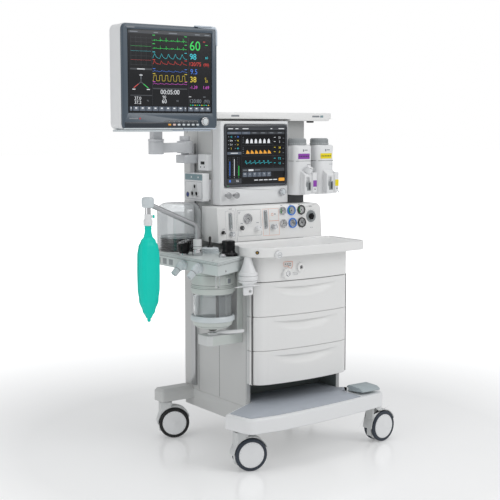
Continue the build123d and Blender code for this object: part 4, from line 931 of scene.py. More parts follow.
def monitor_marks(screen):
    """The patient monitor's page: traces, trends, a spoked chart, timer, figures and a row of keys."""
    trace_width = 1.0
    rows = (
        (0.115, 0.048, 6, HEARTBEAT, glow_green), (0.212, 0.04, 6, HEARTBEAT, glow_green),
        (0.335, 0.062, 5, saw, glow_cyan), (0.405, 0.036, 5, PULSE, glow_red),
        (0.497, 0.018, 5, LOW_PULSE, glow_blue), (0.612, 0.072, 6, breath, glow_yellow),
        (0.652, 0.012, 6, LOW_PULSE, glow_magenta),
    )
    for v, height, beats, form, finish in rows:
        screen.wave(0.285, 0.70, v, height, beats, form, trace_width, finish)
        screen.block(0.285, 0.315, v - height - 0.020, v - height - 0.013, finish)
        screen.block(0.67, 0.70, v - height - 0.020, v - height - 0.013, finish)
    for v, finish in ((0.19, glow_green), (0.25, glow_cyan), (0.36, glow_red)):
        for i in range(16):
            screen.block(0.03 + i * 0.015, 0.038 + i * 0.015, v, v + 0.003, finish, lift=2)
    for v in (0.09, 0.14, 0.19, 0.25, 0.31, 0.36, 0.42):
        screen.trace([(0.03, v), (0.27, v)], 0.45, glow_faint, 1)
    for u in (0.03, 0.09, 0.15, 0.21, 0.27):
        screen.trace([(u, 0.07), (u, 0.43)], 0.45, glow_faint, 1)
    screen.block(0.02, 0.275, 0.462, 0.482, glow_band)
    screen.block(0.10, 0.19, 0.467, 0.477, glow_white, lift=2)
    hub = (0.145, 0.63)
    spokes = ((0.0, -0.10, glow_grey), (-0.085, 0.075, glow_red), (0.085, 0.075, glow_green))
    for across, down, finish in spokes:
        end = (hub[0] + across, hub[1] + down)
        screen.trace([hub, end], 3.4, glow_faint, 1)
        screen.trace([(hub[0] + across * 0.35, hub[1] + down * 0.35), end], 2.2, finish)
        screen.block(end[0] - 0.018, end[0] + 0.018, end[1] + 0.012, end[1] + 0.022, glow_white, lift=3)
    screen.block(0.02, 0.275, 0.79, 0.802, glow_band)
    screen.figures("37.0", 0.105, 0.835, 12, glow_white)
    screen.figures("37.2", 0.105, 0.885, 12, glow_white)
    screen.figures("0.2", 0.225, 0.86, 5, glow_grey)
    screen.block(0.285, 0.70, 0.70, 0.716, glow_band)
    screen.figures("00:05:00", 0.49, 0.752, 17, glow_white)
    screen.figures("90", 0.42, 0.815, 11, glow_white)
    screen.figures("60", 0.42, 0.868, 15, glow_white)
    screen.figures("50", 0.58, 0.86, 7, glow_grey)
    numbers = (
        ("60", 0.80, 0.165, 35, glow_green), ("98", 0.775, 0.30, 22,
                glow_cyan), ("60", 0.945, 0.305, 9, glow_cyan),
        ("120/75", 0.80, 0.392, 14, glow_red), ("(90)", 0.94, 0.395, 11,
                glow_red), ("9.5", 0.785, 0.488, 19, glow_blue),
        ("38", 0.775, 0.588, 21, glow_yellow), ("0", 0.93, 0.57, 8,
                glow_yellow), ("15", 0.94, 0.605, 9, glow_yellow),
        ("-1.39", 0.78, 0.685, 12, glow_magenta), ("1.69", 0.935, 0.685, 12, glow_magenta),
        ("120/80", 0.80, 0.86, 14, glow_grey), ("(93)", 0.945, 0.862, 12, glow_grey),
    )
    for text, u, v, height, finish in numbers:
        screen.figures(text, u, v, height, finish)
    tags = ((0.9, 0.10, glow_red), (0.93, 0.14, glow_green), (0.72, 0.80, glow_white),
            (0.90, 0.80, glow_grey))
    for u, v, finish in tags:
        screen.block(u, u + 0.03, v, v + 0.007, finish)
    for v in (0.275, 0.288, 0.301, 0.314):
        screen.block(0.762, 0.772, v, v + 0.008, glow_cyan)
    for i in range(9):
        screen.block(0.735 + i * 0.028, 0.75 + i * 0.028, 0.905, 0.914,
                     (glow_green, glow_cyan, glow_yellow)[i % 3])
    for u in (0.28, 0.72):
        screen.trace([(u, 0.06), (u, 0.92)], 0.5, glow_faint, 1)
    screen.block(0.0, 1.0, 0.0, 0.035, glow_band)
    for u, width in ((0.02, 0.09), (0.30, 0.05), (0.48, 0.10), (0.80, 0.06), (0.92, 0.06)):
        screen.block(u, u + width, 0.012, 0.023, glow_grey, lift=2)
    keys = [(0.012, 0.028)] + [(0.05 + i * 0.076, 0.07) for i in range(8)] + [(0.662, 0.028)]
    keys += [(0.71 + i * 0.072, 0.066) for i in range(4)]
    for u, width in keys:
        screen.block(u, u + width, 0.932, 0.988, glow_key, 1.5)
        screen.block(u + width * 0.32, u + width * 0.68, 0.945, 0.96, glow_white, lift=2)
        screen.block(u + width * 0.2, u + width * 0.8, 0.970, 0.976, glow_grey, lift=2)


def patient_monitor():
    """The monitor's screen module, its lit area and the page on it."""
    x0, x1, front, back, z0, z1 = span("monitor_screen")
    build = Build().add(prism(rectangle(x0, x1, z0, z1), front, front + 4, 0.3, "front"), screen_black)
    margin = 3.0
    lit_area = rectangle(x0 + margin, x1 - margin, z0 + margin, z1 - margin)
    build.add(sheet(lit_area, front - HAIR / 3), screen_grey)
    monitor_marks(Screen(build, x0 + margin, x1 - margin, z0 + margin, z1 - margin, front - HAIR / 3))
    build.add(prism(rectangle(x0 + 20, x1 - 20, z0 + 20, z1 - 20), front + 4, back, 0.5, "front"),
              dark_grey)
    done(build, "monitor_screen")


def monitor_case():
    """Slate front frame with its keys and lamp, the white case behind it and the round knob."""
    x0, x1, _, back_edge, z0, top = span("monitor_bezel")
    face = -107.0
    lamp_part = lambda at, normal: at.z > top - 4.2 and at.x > x0 + 250
    build = fine("monitor_bezel", slate, 1.6, 3, [(trim_silver, lamp_part)])
    panel = [(x0 + 8, z0 + 8), (x1 - 92, z0 + 8), (x1 - 82, z0 + 34), (x0 + 178, z0 + 34),
             (x0 + 162, z0 + 27), (x0 + 8, z0 + 27)]
    build.add(prism(rounded(panel, [8, 4, 3, 6, 6, 3]), face - HAIR, face + 2, 0.2, "front"), dark_slate)
    build.add(sheet(rectangle(x0 + 26, x0 + 62, z0 + 38, z0 + 42, 1, 2), face - HAIR), grey_line)
    build.add(sheet(circle((x0 + 70, z0 + 40), 3.2, 16), face - HAIR), key_red)
    rim = rectangle(x0, x1, z0, span("monitor_shell")[5], 18)
    build.add(band(rim, 0.7, 1.0, face + 9, back_edge, "front"), white)
    build.add(box(x0 + 1, x0 + 208, face + 3, -30, z0 - 7, z0 + 0.5, 2.4, 3), ring_white)
    build.add(box(x0 + 209, x1 - 26, face + 6, -34, z0 - 6, z0 + 0.5, 2.0, 3), trim_silver)
    for i, finish in enumerate((key_amber, key_pink) + (ring_white,) * 5):
        x = x0 + 192 + i * 20
        build.add(prism(rectangle(x - 6, x + 6, z0 + 15, z0 + 21.5, 2.6), face - 1.4, face + 2, 0.6,
                        "front"), finish)
        build.add(sheet(rectangle(x - 2, x + 2, z0 + 27, z0 + 31, 1, 2), face - HAIR * 2), grey_line)
    build.add(prism(rectangle(x0 + 4, x0 + 250, z0 + 1.2, z0 + 6.2, 2), face - 1.6, face + 2, 0.6, "front"),
              ring_white)
    build.add(prism(rectangle(x0 + 252, x1 - 6, z0 + 1.2, z0 + 6.2, 2), face - 1.6, face + 2, 0.6, "front"),
              trim_silver)
    build.add(prism(rectangle(x0 + 20, x0 + 52, top - 21, top - 16.5, 1), face - HAIR, face + 1, 0.1,
                    "front"), grey_line)
    edge_z = span("monitor_shell")[5]
    strip = [(x1 - 84, edge_z + 4.4), (x1 - 84, edge_z - 3.0), (x1 - 8, edge_z - 6), (x1 - 7, edge_z - 62),
             (x1 - 0.4, edge_z - 66),
             (x1 - 0.4, edge_z - 12), (x1 - 9, edge_z + 4.4)]
    build.add(prism(rounded(strip, [1, 1, 5, 1, 1, 12, 9], 5), face - 1.2, face + 6, 0.8, "front"),
              trim_silver)
    done(build, "monitor_bezel")

    build = fine("monitor_shell", white, 2.2, 3)
    x0, x1, y0, _, z0, z1 = span("monitor_shell")
    middle_x = (x0 + x1) / 2
    for level in (z1 - 62, z0 + 60):
        vent = repeated(prism(rectangle(-1.7, 1.7, -19, 19, 1.7, 3), -0.5, 0.4), 25, soft_black,
                        step=(8, 0, 0))
        stand = Matrix.Translation((middle_x - 96, y0 + 62, level)) @ Matrix.Rotation(-math.pi / 2, 4, "X")
        build.add(moved(vent, stand), soft_black)
    done(build, "monitor_shell")

    x, _, z = middle("monitor_knob")
    front, back = span("monitor_knob")[2:4]
    knob = lathe([(0, 0.6), (10.6, 0.6), (11.4, 0), (14.6, 0), (16, 2.2), (16, 14.5), (0, 14.5)],
                 (x, front, z), INWARD, 56, 0.5)
    build = Build().add(knob, chrome)
    build.add(lathe([(0, 0.2), (10.4, 0.2), (10.4, 1.2), (0, 1.2)], (x, front, z), INWARD, 40, 0.2),
              ring_white)
    build.ring(box(15.6, 16.0, -0.5, 0.5, 3.5, 13, 0.0), 40, knob_silver, (x, front, z), INWARD)
    build.add(lathe([(6, 14.5), (6, back - front), (0, back - front)], (x, front, z), INWARD, 24),
              dark_grey)
    done(build, "monitor_knob")


# ---- machine display --------------------------------------------------------

def filled(screen, u0, width, v, height, form, finish):
    """One solid hump of a waveform that is drawn filled."""
    points = [(u0 + width * step / 12, v - height * form(step / 12)) for step in range(13)]
    line = [screen.at(u0, v + 0.002)] + [screen.at(*point)
            for point in points] + [screen.at(u0 + width, v + 0.002)]
    screen.build.add(sheet(line, screen.y - 2 * HAIR), finish)


def display_marks(screen):
    """The machine's ventilation page."""
    screen.block(0.0, 1.0, 0.0, 0.055, glow_band)
    for u, width in ((0.02, 0.08), (0.14, 0.05), (0.26, 0.10), (0.74, 0.03), (0.88, 0.10)):
        screen.block(u, u + width, 0.02, 0.034, glow_white, lift=2)
    screen.block(0.005, 0.24, 0.08, 0.125, glow_key)
    screen.block(0.05, 0.17, 0.096, 0.108, glow_grey, lift=2)
    settings = (("16", glow_cyan), ("38", glow_blue), ("500", glow_white), ("98", glow_yellow),
                ("2.4", glow_white),
              ("21", glow_yellow), ("5", glow_yellow), ("60", glow_cyan))
    for i, (text, finish) in enumerate(settings):
        u, v = 0.07 + 0.11 * (i % 2), 0.17 + 0.068 * (i // 2)
        screen.figures(text, u, v, 6.5, finish)
        screen.block(u - 0.05, u - 0.035, v - 0.008, v + 0.004, glow_grey)
    screen.block(0.005, 0.24, 0.435, 0.48, glow_key)
    screen.block(0.06, 0.18, 0.451, 0.463, glow_white, lift=2)
    for u, level, finish in ((0.045, 0.60, glow_blue), (0.12, 0.56, glow_white), (0.195, 0.68, glow_green)):
        screen.frame(u - 0.012, u + 0.012, 0.53, 0.86, 0.5, glow_faint)
        screen.block(u - 0.004, u + 0.005, level, 0.855, finish, lift=2)
        for i in range(12):
            screen.block(u - 0.027, u - 0.018, 0.535 + i * 0.029, 0.539 + i * 0.029, glow_grey)
        screen.figures("5", u, 0.885, 4.5, finish)
    screen.block(0.005, 0.24, 0.905, 0.992, glow_band)
    screen.block(0.035, 0.06, 0.925, 0.97, glow_blue, 2, lift=2)
    screen.figures("16", 0.17, 0.948, 10, glow_white, lift=2)
    for i in range(5):
        screen.block(0.25 + i * 0.148, 0.392 + i * 0.148, 0.08, 0.125, glow_key if i == 0 else glow_band)
        screen.block(0.28 + i * 0.148, 0.345 + i * 0.148, 0.096, 0.107, glow_grey, lift=2)
    hump = lambda p: max(0.0, math.sin(math.pi * p)) ** 0.4
    cone = lambda p: min(1.0, p / 0.25) * (1 - p) ** 0.6
    for i in range(6):
        filled(screen, 0.315 + i * 0.074, 0.046, 0.282, 0.075, hump, glow_white)
        filled(screen, 0.32 + i * 0.074, 0.060, 0.468, 0.075, cone, glow_orange)
    for v in (0.287, 0.473):
        screen.trace([(0.295, v), (0.765, v)], 0.45, glow_grey, 1)
        for i in range(4):
            screen.block(0.262, 0.28, v - 0.015 - i * 0.032, v - 0.009 - i * 0.032, glow_grey)
    flow = lambda p: (0.9 if p < 0.28 else -0.8 * math.exp(-(p - 0.28) * 6)) if p > 0.05 else 0.0
    screen.wave(0.30, 0.765, 0.63, 0.036, 6, flow, 1.1, glow_cyan, 260)
    screen.trace([(0.295, 0.63), (0.77, 0.63)], 0.4, glow_faint, 1)
    numbers = ((0.19, "21", glow_white), (0.265, "5", glow_white), (0.37, "38", glow_yellow),
               (0.45, "0", glow_yellow),
               (0.565, "7.2", glow_cyan), (0.65, "12", glow_cyan))
    for v, text, finish in numbers:
        screen.figures(text, 0.90, v, 8.5, finish)
        screen.block(0.80, 0.83, v - 0.012, v - 0.004, finish)
        screen.block(0.955, 0.98, v + 0.006, v + 0.012, glow_grey)
    for v in (0.326, 0.51, 0.72):
        screen.trace([(0.25, v), (0.99, v)], 0.5, glow_faint, 1)
    for u in (0.245, 0.785):
        screen.trace([(u, 0.06), (u, 0.99)], 0.5, glow_faint, 1)
    screen.block(0.255, 0.985, 0.735, 0.79, glow_band)
    screen.block(0.27, 0.33, 0.755, 0.768, glow_grey, lift=2)
    screen.block(0.36, 0.445, 0.748, 0.778, glow_white, lift=2)
    screen.block(0.47, 0.56, 0.755, 0.768, glow_grey, lift=2)
    for i in range(6):
        u = 0.262 + i * 0.083
        screen.block(u, u + 0.074, 0.80, 0.882, glow_key, 1.2)
        screen.figures(("500", "12", "50", "5", "20", "30")[i], u + 0.037, 0.832, 5.5, glow_white, lift=2)
        screen.block(u + 0.02, u + 0.055, 0.864, 0.870, glow_grey, lift=2)
    for i in range(5):
        screen.block(0.46 + i * 0.083, 0.525 + i * 0.083, 0.935, 0.95, glow_white)
    screen.block(0.885, 0.99, 0.915, 0.972, glow_orange, 3)


def machine_display():
    """The machine's screen module, the case round it and its knob."""
    x0, x1, front, back, z0, z1 = span("display_panel")
    build = Build().add(prism(rectangle(x0, x1, z0, z1, 12), front, back, 1.2, "front", foot=2.0),
            dark_bezel)
    side, foot = 8.0, 10.0
    glass = rectangle(x0 + side, x1 - side, z0 + foot, z1 - side, 2)
    build.add(prism(glass, front - HAIR / 2, front + 2, 0.1, "front"), screen_black)
    build.add(sheet(circle((x0 + 14, z0 + 4.6), 1.4, 12), front - HAIR), glow_green)
    inside = 2.0
    display_marks(Screen(build, x0 + side + inside, x1 - side - inside, z0 + foot + inside,
            z1 - side - inside, front - HAIR / 2))
    done(build, "display_panel")

    hooks = lambda at, normal: at.y < 37.5 and at.z < 1030
    build = fine("display_housing", white, 2.5, 3, [(tube_steel, hooks)])
    hx0, hx1, _, _, _, hz1 = span("display_housing")
    lip = rectangle(x0 - 4, x1 + 4, z0 - 4, z1 + 4, 15)
    build.add(outline_mark(lip, 1.2, 38.0 - 0.2), grey_line)
    build.add(box(hx0 + 6, hx1 - 6, 60, 61.2, hz1 - 0.6, hz1 + 0.2, 0.2), grey_line)
    done(build, "display_housing")

    x, _, z = middle("display_knob")
    front, back = span("display_knob")[2:4]
    knob = lathe([(0, 0.8), (9, 0.8), (9.8, 0), (12.8, 0), (14, 2.0), (14, 12), (0, 12)], (x, front, z),
                 INWARD, 48, 0.5)
    build = Build().add(knob, knob_silver)
    build.add(lathe([(0, 0.3), (8.8, 0.3), (8.8, 1.4), (0, 1.4)], (x, front, z), INWARD, 36, 0.2),
              ring_white)
    build.ring(box(13.4, 13.99, -0.45, 0.45, 3, 11, 0.0), 36, chrome, (x, front, z), INWARD)
    build.add(lathe([(5, 12), (5, back - front), (0, back - front)], (x, front, z), INWARD, 24), dark_grey)
    done(build, "display_knob")


patient_monitor()
monitor_case()
machine_display()


# ---- running gear -----------------------------------------------------------

def caster(corner, tyre):
    """One caster: hood with its fender and stem, and the twin wheels with flat disc covers."""
    hood = f"caster_hood_{corner}"
    wheels = f"caster_wheels_{corner}"
    axis = Vector(joint_of[f"wheel_roll_{corner}"]["axis"])
    centre = middle(wheels)
    radius = centre.z
    build = fine(hood, pale_grey, 1.4, 3)
    stem = Vector(joint_of[f"caster_swivel_{corner}"]["pos_m"]) / MM
    build.add(lathe([(0, -1.2), (15, -1.2), (15, 1.0), (0, 1.0)], (stem.x, stem.y, span(hood)[5] - 9), UP,
                    40, 0.6), chrome)
    done(build, hood)

    build = Build()
    gap, width, disc = 11.8, 17.0, 49.5
    for side in (-1, 1):
        out = axis * side
        shell = [(0, gap), (disc - 4, gap), (disc - 2, gap + 1), (radius - 5, gap + 1),
                 (radius - 0.8, gap + 4.5),
                 (radius, gap + 8.5), (radius - 0.8, gap + 12.5), (radius - 5, gap + width - 1.0),
                 (disc + 1, gap + width - 0.4), (disc + 0.4, gap + width - 2.2), (disc, gap + width - 2.2)]
        build.add(lathe(shell + [(0, gap + width - 2.2)], centre, out, 72, 1.4), tyre)
        face = [(0, gap + width - 0.2), (7.0, gap + width - 0.2), (8.5, gap + width - 0.7),
                (40, gap + width - 1.0),
                (disc - 1.6, gap + width - 1.2), (disc - 0.2, gap + width - 2.4), (0, gap + width - 2.5)]
        build.add(lathe(face, centre, out, 72), white)
        build.ring(box(44.6, 46.2, -0.5, 0.5, gap + width - 1.25, gap + width - 0.95, 0.0), 24, grey_line,
                   centre, out)
    build.add(lathe([(5, -gap), (5, gap)], centre, axis, 24), chrome)
    done(build, wheels)


def chassis():
    """The welded frame, the front platform with its ribbed pad, and the brake pedal with its treads."""
    done(fine("base_frame", silver_paint, 2.5, 3), "base_frame")
    done(fine("footrest", white, 4.0, 4), "footrest")
    done(fine("footrest_pad", pad_blue, 0.8, 2), "footrest_pad")

    x0, x1, y0, _, _, z1 = span("brake_pedal")
    build = fine("brake_pedal", pedal_grey, 1.8, 3)
    for i in range(6):
        y = y0 + 16 + i * 6.5
        build.add(box(x0 + 22, x1 - 22, y, y + 2.2, z1 - 6 - i * 0.1, z1 - 3.5 + i * 0.1, 0.8), dark_grey)
    done(build, "brake_pedal")


# ---- cabinet ----------------------------------------------------------------

def drawer(node):
    """A drawer whose moulded front dips inwards below a sharp curved lip to make its grip."""
    x0, x1, y0, _, z0, z1 = span(node)
    half, bow, corner, cut = (x1 - x0) / 2, 22.0, 50.0, -176.0
    radius = (half * half + bow * bow) / (2 * bow)
    front = lambda x: y0 + radius - math.sqrt(radius * radius - x * x)
    grip_half, lip_sag, dip, reach = 165.0, 6.0, 17.0, 44.0
    lip_z = z1 - 17.0

    side = [(-half, y) for y in (cut, -182.0)]
    start = Vector((-half, front(half)))
    edge_line = corner_arc((-half, 0), start, (-half + 120, front(half - 120)), corner, 14)
    flat_half = -edge_line[-1][0] - 1
    run = [-half + 55 + (2 * half - 110) * i / 72 for i in range(73)]
    run = [x for x in run if -flat_half < x < flat_half]
    plan = side + edge_line + [(x, front(x)) for x in run]
    plan += [(-x, y) for x, y in reversed(side + edge_line)]

    def dished(x, z):
        """How far the front dips in at a point."""
        share = 1 - (x / grip_half) ** 2
        lip = lip_z - lip_sag * share
        if share <= 0 or z > lip + 0.01:
            return 0.0
        drop = (lip - z) / (reach * share ** 0.55 + 3)
        if drop >= 1:
            return 0.0
        return dip * share ** 1.15 * (1 - drop * drop * (3 - 2 * drop))

    def lip_at(x):
        return lip_z - lip_sag * max(0.0, 1 - (x / grip_half) ** 2)

    shape = bmesh.new()
    columns = []
    for i, (x, y) in enumerate(plan):  # one upright column of points for each point of the plan
        ahead = Vector(plan[min(i + 1, len(plan) - 1)]) - Vector(plan[max(i - 1, 0)])
        inward = Vector((-ahead.y, ahead.x)).normalized()
        lip = lip_at(x)
        levels = [(z0, 1.5), (z0 + 1.5, 0.0)] + [(z0 + 1.5 + (lip - z0 - 1.5) * s / 30, 0.0)
                for s in range(1, 31)]
        column = [(z, back + dished(x, z)) for z, back in levels]
        column += [(lip + 0.05, 0.0), (lip + 0.8, 0.0), (z1 - 1.5, 0.0), (z1, 1.5)]
        columns.append([shape.verts.new((x + inward.x * back, y + inward.y * back, z)) for z,
                        back in column])
    for near, far in zip(columns, columns[1:]):
        for k in range(len(near) - 1):
            shape.faces.new((near[k], far[k], far[k + 1], near[k + 1]))
    shape.faces.new([column[0] for column in columns])
    shape.faces.new([column[-1] for column in columns][::-1])
    bmesh.ops.recalc_face_normals(shape, faces=shape.faces)

    tray = cad_copy(node, 0)
    bmesh.ops.bisect_plane(tray, geom=tray.verts[:] + tray.edges[:] + tray.faces[:], dist=0.01,
            plane_co=(0, cut + 0.5, 0),
                           plane_no=INWARD, clear_inner=True)
    build = Build().add(shape, warm_white).add(tray, pale_grey)
    for face in build.mesh.faces:
        if face.calc_center_median().y < cut + 0.4 and face.normal.y > 0.9:
            face.material_index = 0
    done(build, node)


def cabinet():
    """The case, its fascia with the gas outlets, the foot recess and the side's seams, screws and vents."""
    x0, x1, y0, _, z0, z1 = span("cabinet_shell")
    recess = lambda at, normal: -140 > at.y > -226 and at.z < 289 and abs(at.x) < x1 - 14

    def deep(at, normal):
        """Faces that look into the foot recess."""
        inwards = normal.y < -0.5 or normal.z < -0.5 or abs(normal.x) > 0.5
        return inwards and at.z < 288 and abs(at.x) < x1 - 10 and at.y < 60

    fascia = lambda at, normal: at.z > 687 and at.y < -140
    where = [(recess_grey, deep), (recess_grey, recess), (warm_white, fascia)]
    build = fine("cabinet_shell", silver_paint, 1.2, 2, where)
    for y in (45.0, 196.0):
        build.add(box(x0 - 0.25, x0 + 0.5, y - 0.8, y + 0.8, z0 + 4, z1 - 4, 0.0), ink)
    build.add(box(x0 - 0.3, x0 + 0.5, y0 + 92, y0 + 93.5, z0 + 4, 690, 0.0), grey_line)
    screw = [(0, -1.4), (3.4, -1.4), (4.2, -0.6), (4.2, 1), (0, 1)]
    for level in (z0 + 34, z1 - 150):
        for x, axis in ((x0, RIGHT), (x1, LEFT)):
            build.add(lathe(screw, (x, 252, level), axis, 24), chrome)
    vent = box(x1 - 0.6, x1 + 0.3, -2, 2, -34, 34, 0.0)
    moved(vent, Matrix.Translation((0, 96, 640)))
    build.row(vent, 16, ink, (0, 9, 0))
    # The bored nipple sits left and low, the larger socket right and high.
    x, z, face = -100.0, 716.0, -233.0
    build.add(lathe([(0, 2.5), (9, 2.5), (9, 1.2), (17, 0.4), (21, 3.0), (21, 12)], (x, face, z), INWARD,
                    56, 0.8), white)
    build.add(lathe([(7.6, 12), (7.6, 0.2), (8.4, -0.2), (10.6, -0.2), (11.4, 0.6), (11.4, 3)],
                    (x, face, z), INWARD, 40), chrome)
    build.add(lathe([(0, 9), (7.6, 9)], (x, face, z), INWARD, 32), black)
    build.ring(box(10.9, 11.7, -1.2, 1.2, 0, 2.4, 0.2), 12, tube_steel, (x, face, z), INWARD)
    x, z = -36.0, 736.0
    build.add(lathe([(12.5, 10), (12.5, 1.6), (13.4, 0.6), (16.2, 0.4), (18, 2.4), (18, 12)], (x, face, z),
                    INWARD, 56), pale_grey)
    build.add(lathe([(0, 7.5), (12.6, 7.5)], (x, face, z), INWARD, 40), black)
    build.add(lathe([(3.4, 7.4), (3.4, 3.2), (4.4, 2.4), (5.4, 3.2), (5.4, 7.4)], (x, face, z), INWARD, 32),
              chrome)
    front = -226.6
    label = rounded([(-118, 744), (-118, 762), (-74, 762), (-74, 742), (-88, 728), (-96, 744)], 3.0, 3)
    build.add(outline_mark(label, 1.5, front), orange_line)
    for i in range(3):
        build.add(sheet(rectangle(-112 + i * 11, -106 + i * 11, 751, 754, 0), front), ink)
    build.add(sheet(rectangle(-96, -82, 745, 747.5), front), grey_line)
    build.add(outline_mark(rounded([(-78, 712), (-50, 708), (-50, 714), (-78, 719)], 1.5, 2), 1.0, front),
              grey_line)
    done(build, "cabinet_shell")


def top():
    """The worktop with its moulded rim, flush button and the jack at its corner."""
    x0, _, y0, _, _, _ = span("worktop")
    build = fine("worktop", warm_white, 3.0, 4)
    jack = Vector((x0 + 22.5, y0 + 31.0, 809.0))
    out = Vector((-0.72, -0.69, 0.0))
    build.add(lathe([(0, 0.5), (2.6, 0.5), (2.6, 1.6), (5.6, 1.6), (6.6, 0.8), (6.6, -4), (0, -4)], jack,
                    out, 32), soft_black)
    build.add(lathe([(1.4, 1.0), (1.4, 1.9), (3.2, 1.9), (3.2, 1.0)], jack, out, 24), brass)
    done(build, "worktop")

    x, _, z = middle("flush_button")
    front, back = span("flush_button")[2:4]
    button = [(0, 0), (11, 0.3), (13, 1.6), (13.5, 3.2), (13.5, back - front), (0, back - front)]
    build = Build().add(lathe(button, (x, front, z), INWARD, 48), white)
    build.add(lathe([(9.0, 0.35), (9.0, -0.1), (10.0, -0.1), (10.0, 0.5)], (x, front, z), INWARD, 40),
              grey_line)
    for dx, finish in ((-4.4, ink), (0, grey_line), (4.4, ink)):
        build.add(sheet(rectangle(x + dx - 1.2, x + dx + 1.2, z - 1.5, z + 1.5, 0.6, 2), front - 0.1),
                  finish)
    done(build, "flush_button")


for corner in ("fl", "fr"):
    caster(corner, tyre_dark)
for corner in ("rl", "rr"):
    caster(corner, soft_black)
chassis()
for number in (1, 2, 3):
    drawer(f"drawer_{number}")
cabinet()
top()


# ---- console ----------------------------------------------------------------

CONSOLE_FOOT, CONSOLE_LEAN = -29.0, 12.0 / 137.0


def console_face(z):
    """The leaning panel's front at a level."""
    return CONSOLE_FOOT + CONSOLE_LEAN * (z - span("console_panel")[4])


CONSOLE_OUT = Vector((0, -1, CONSOLE_LEAN)).normalized()


def on_console(shape):
    """Takes a mark drawn flat at y = 0 in x and z onto the leaning panel."""
    foot = span("console_panel")[4]
    lean = Matrix.Translation((0, CONSOLE_FOOT, foot)) @ Matrix.Rotation(-math.atan(CONSOLE_LEAN), 4, "X")
    return moved(shape, lean @ Matrix.Translation((0, 0, -foot)))


def gauge(build, x, z, radius, rim, face, sector, needle=40.0):
    """A round gauge: rim, dial with ticks, coloured sector, needle and hub."""
    at = Vector((x, console_face(z), z))
    out = CONSOLE_OUT
    inner = radius * 0.80
    build.add(lathe([(inner, 2.2), (inner, 5.2), (inner + 1.0, 6.0), (radius - 1.0, 6.0), (radius, 4.6),
            (radius, -1)], at, out, 48), rim)
    build.add(lathe([(0, 2.6), (inner + 0.2, 2.6)], at, out, 40), face)
    across = Vector(RIGHT)
    up = out.cross(across) * -1
    build.ring(box(inner * 0.80, inner * 0.93, -0.25, 0.25, 2.7, 2.9, 0.0), 12, ink, at, out)

    def spot(angle, reach):
        """A point on the dial, its angle in degrees clockwise from the top."""
        turn = math.radians(angle)
        return at + across * (reach * math.sin(turn)) + up * (reach * math.cos(turn))

    if sector:
        shape = bmesh.new()
        ring = [[spot(a, inner * r) + out * 3.05 for a in range(-150, -20, 10)] for r in (0.55, 0.92)]
        verts = [[shape.verts.new(p) for p in line] for line in ring]
        for i in range(len(verts[0]) - 1):
            shape.faces.new((verts[0][i], verts[0][i + 1], verts[1][i + 1], verts[1][i]))
        build.add(shape, sector)
    build.add(tube([spot(needle + 180, inner * 0.2) + out * 3.6, spot(needle, inner * 0.8) + out * 3.6],
                   0.55, sides=6), soft_black)
    build.add(lathe([(0, 4.6), (1.6, 4.6), (2.3, 3.8), (2.3, 2.6)], at, out, 20), soft_black)


def flow_tube(build, x, z, height):
    """A clear flow tube with its float, scale and end caps."""
    at = lambda level: Vector((x, console_face(level), level))
    half = height / 2
    back = prism(rectangle(x - 8.5, x + 8.5, z - half - 3, z + half + 3, 2.5), -0.8, 1, 0.3, "front")
    build.add(on_console(back), pale_grey)
    low, high = at(z - half + 3) + CONSOLE_OUT * 3.4, at(z + half - 3) + CONSOLE_OUT * 3.4
    build.add(tube([low, high], 4.2, sides=24), tube_clear)
    for side in (-1, 1):
        build.add(tube([low + Vector((side * 5.6, 0, 0)), high + Vector((side * 5.6, 0, 0))], 1.0,
                       sides=10), grey_line)
    for end, sense in ((low, 1), (high, -1)):
        build.add(lathe([(0, -3.4), (5.4, -3.4), (5.4, 2.2), (4.4, 3.0), (0, 3.0)], end, (0, 0, sense), 28,
                        0.4), chrome)
    float_at = low.lerp(high, 0.34)
    build.add(lathe([(0, -2.4), (2.0, -1.0), (3.2, 1.2), (3.2, 2.2), (0, 2.2)], float_at, UP, 20),
              soft_black)
    tick = box(x + 7.0, x + 8.0, -1.3, -0.9, z - half + 6, z - half + 6.5, 0.0)
    ticks = repeated(tick, 12, ink, step=(0, 0, (height - 12) / 11))
    build.add(on_console(ticks), ink)


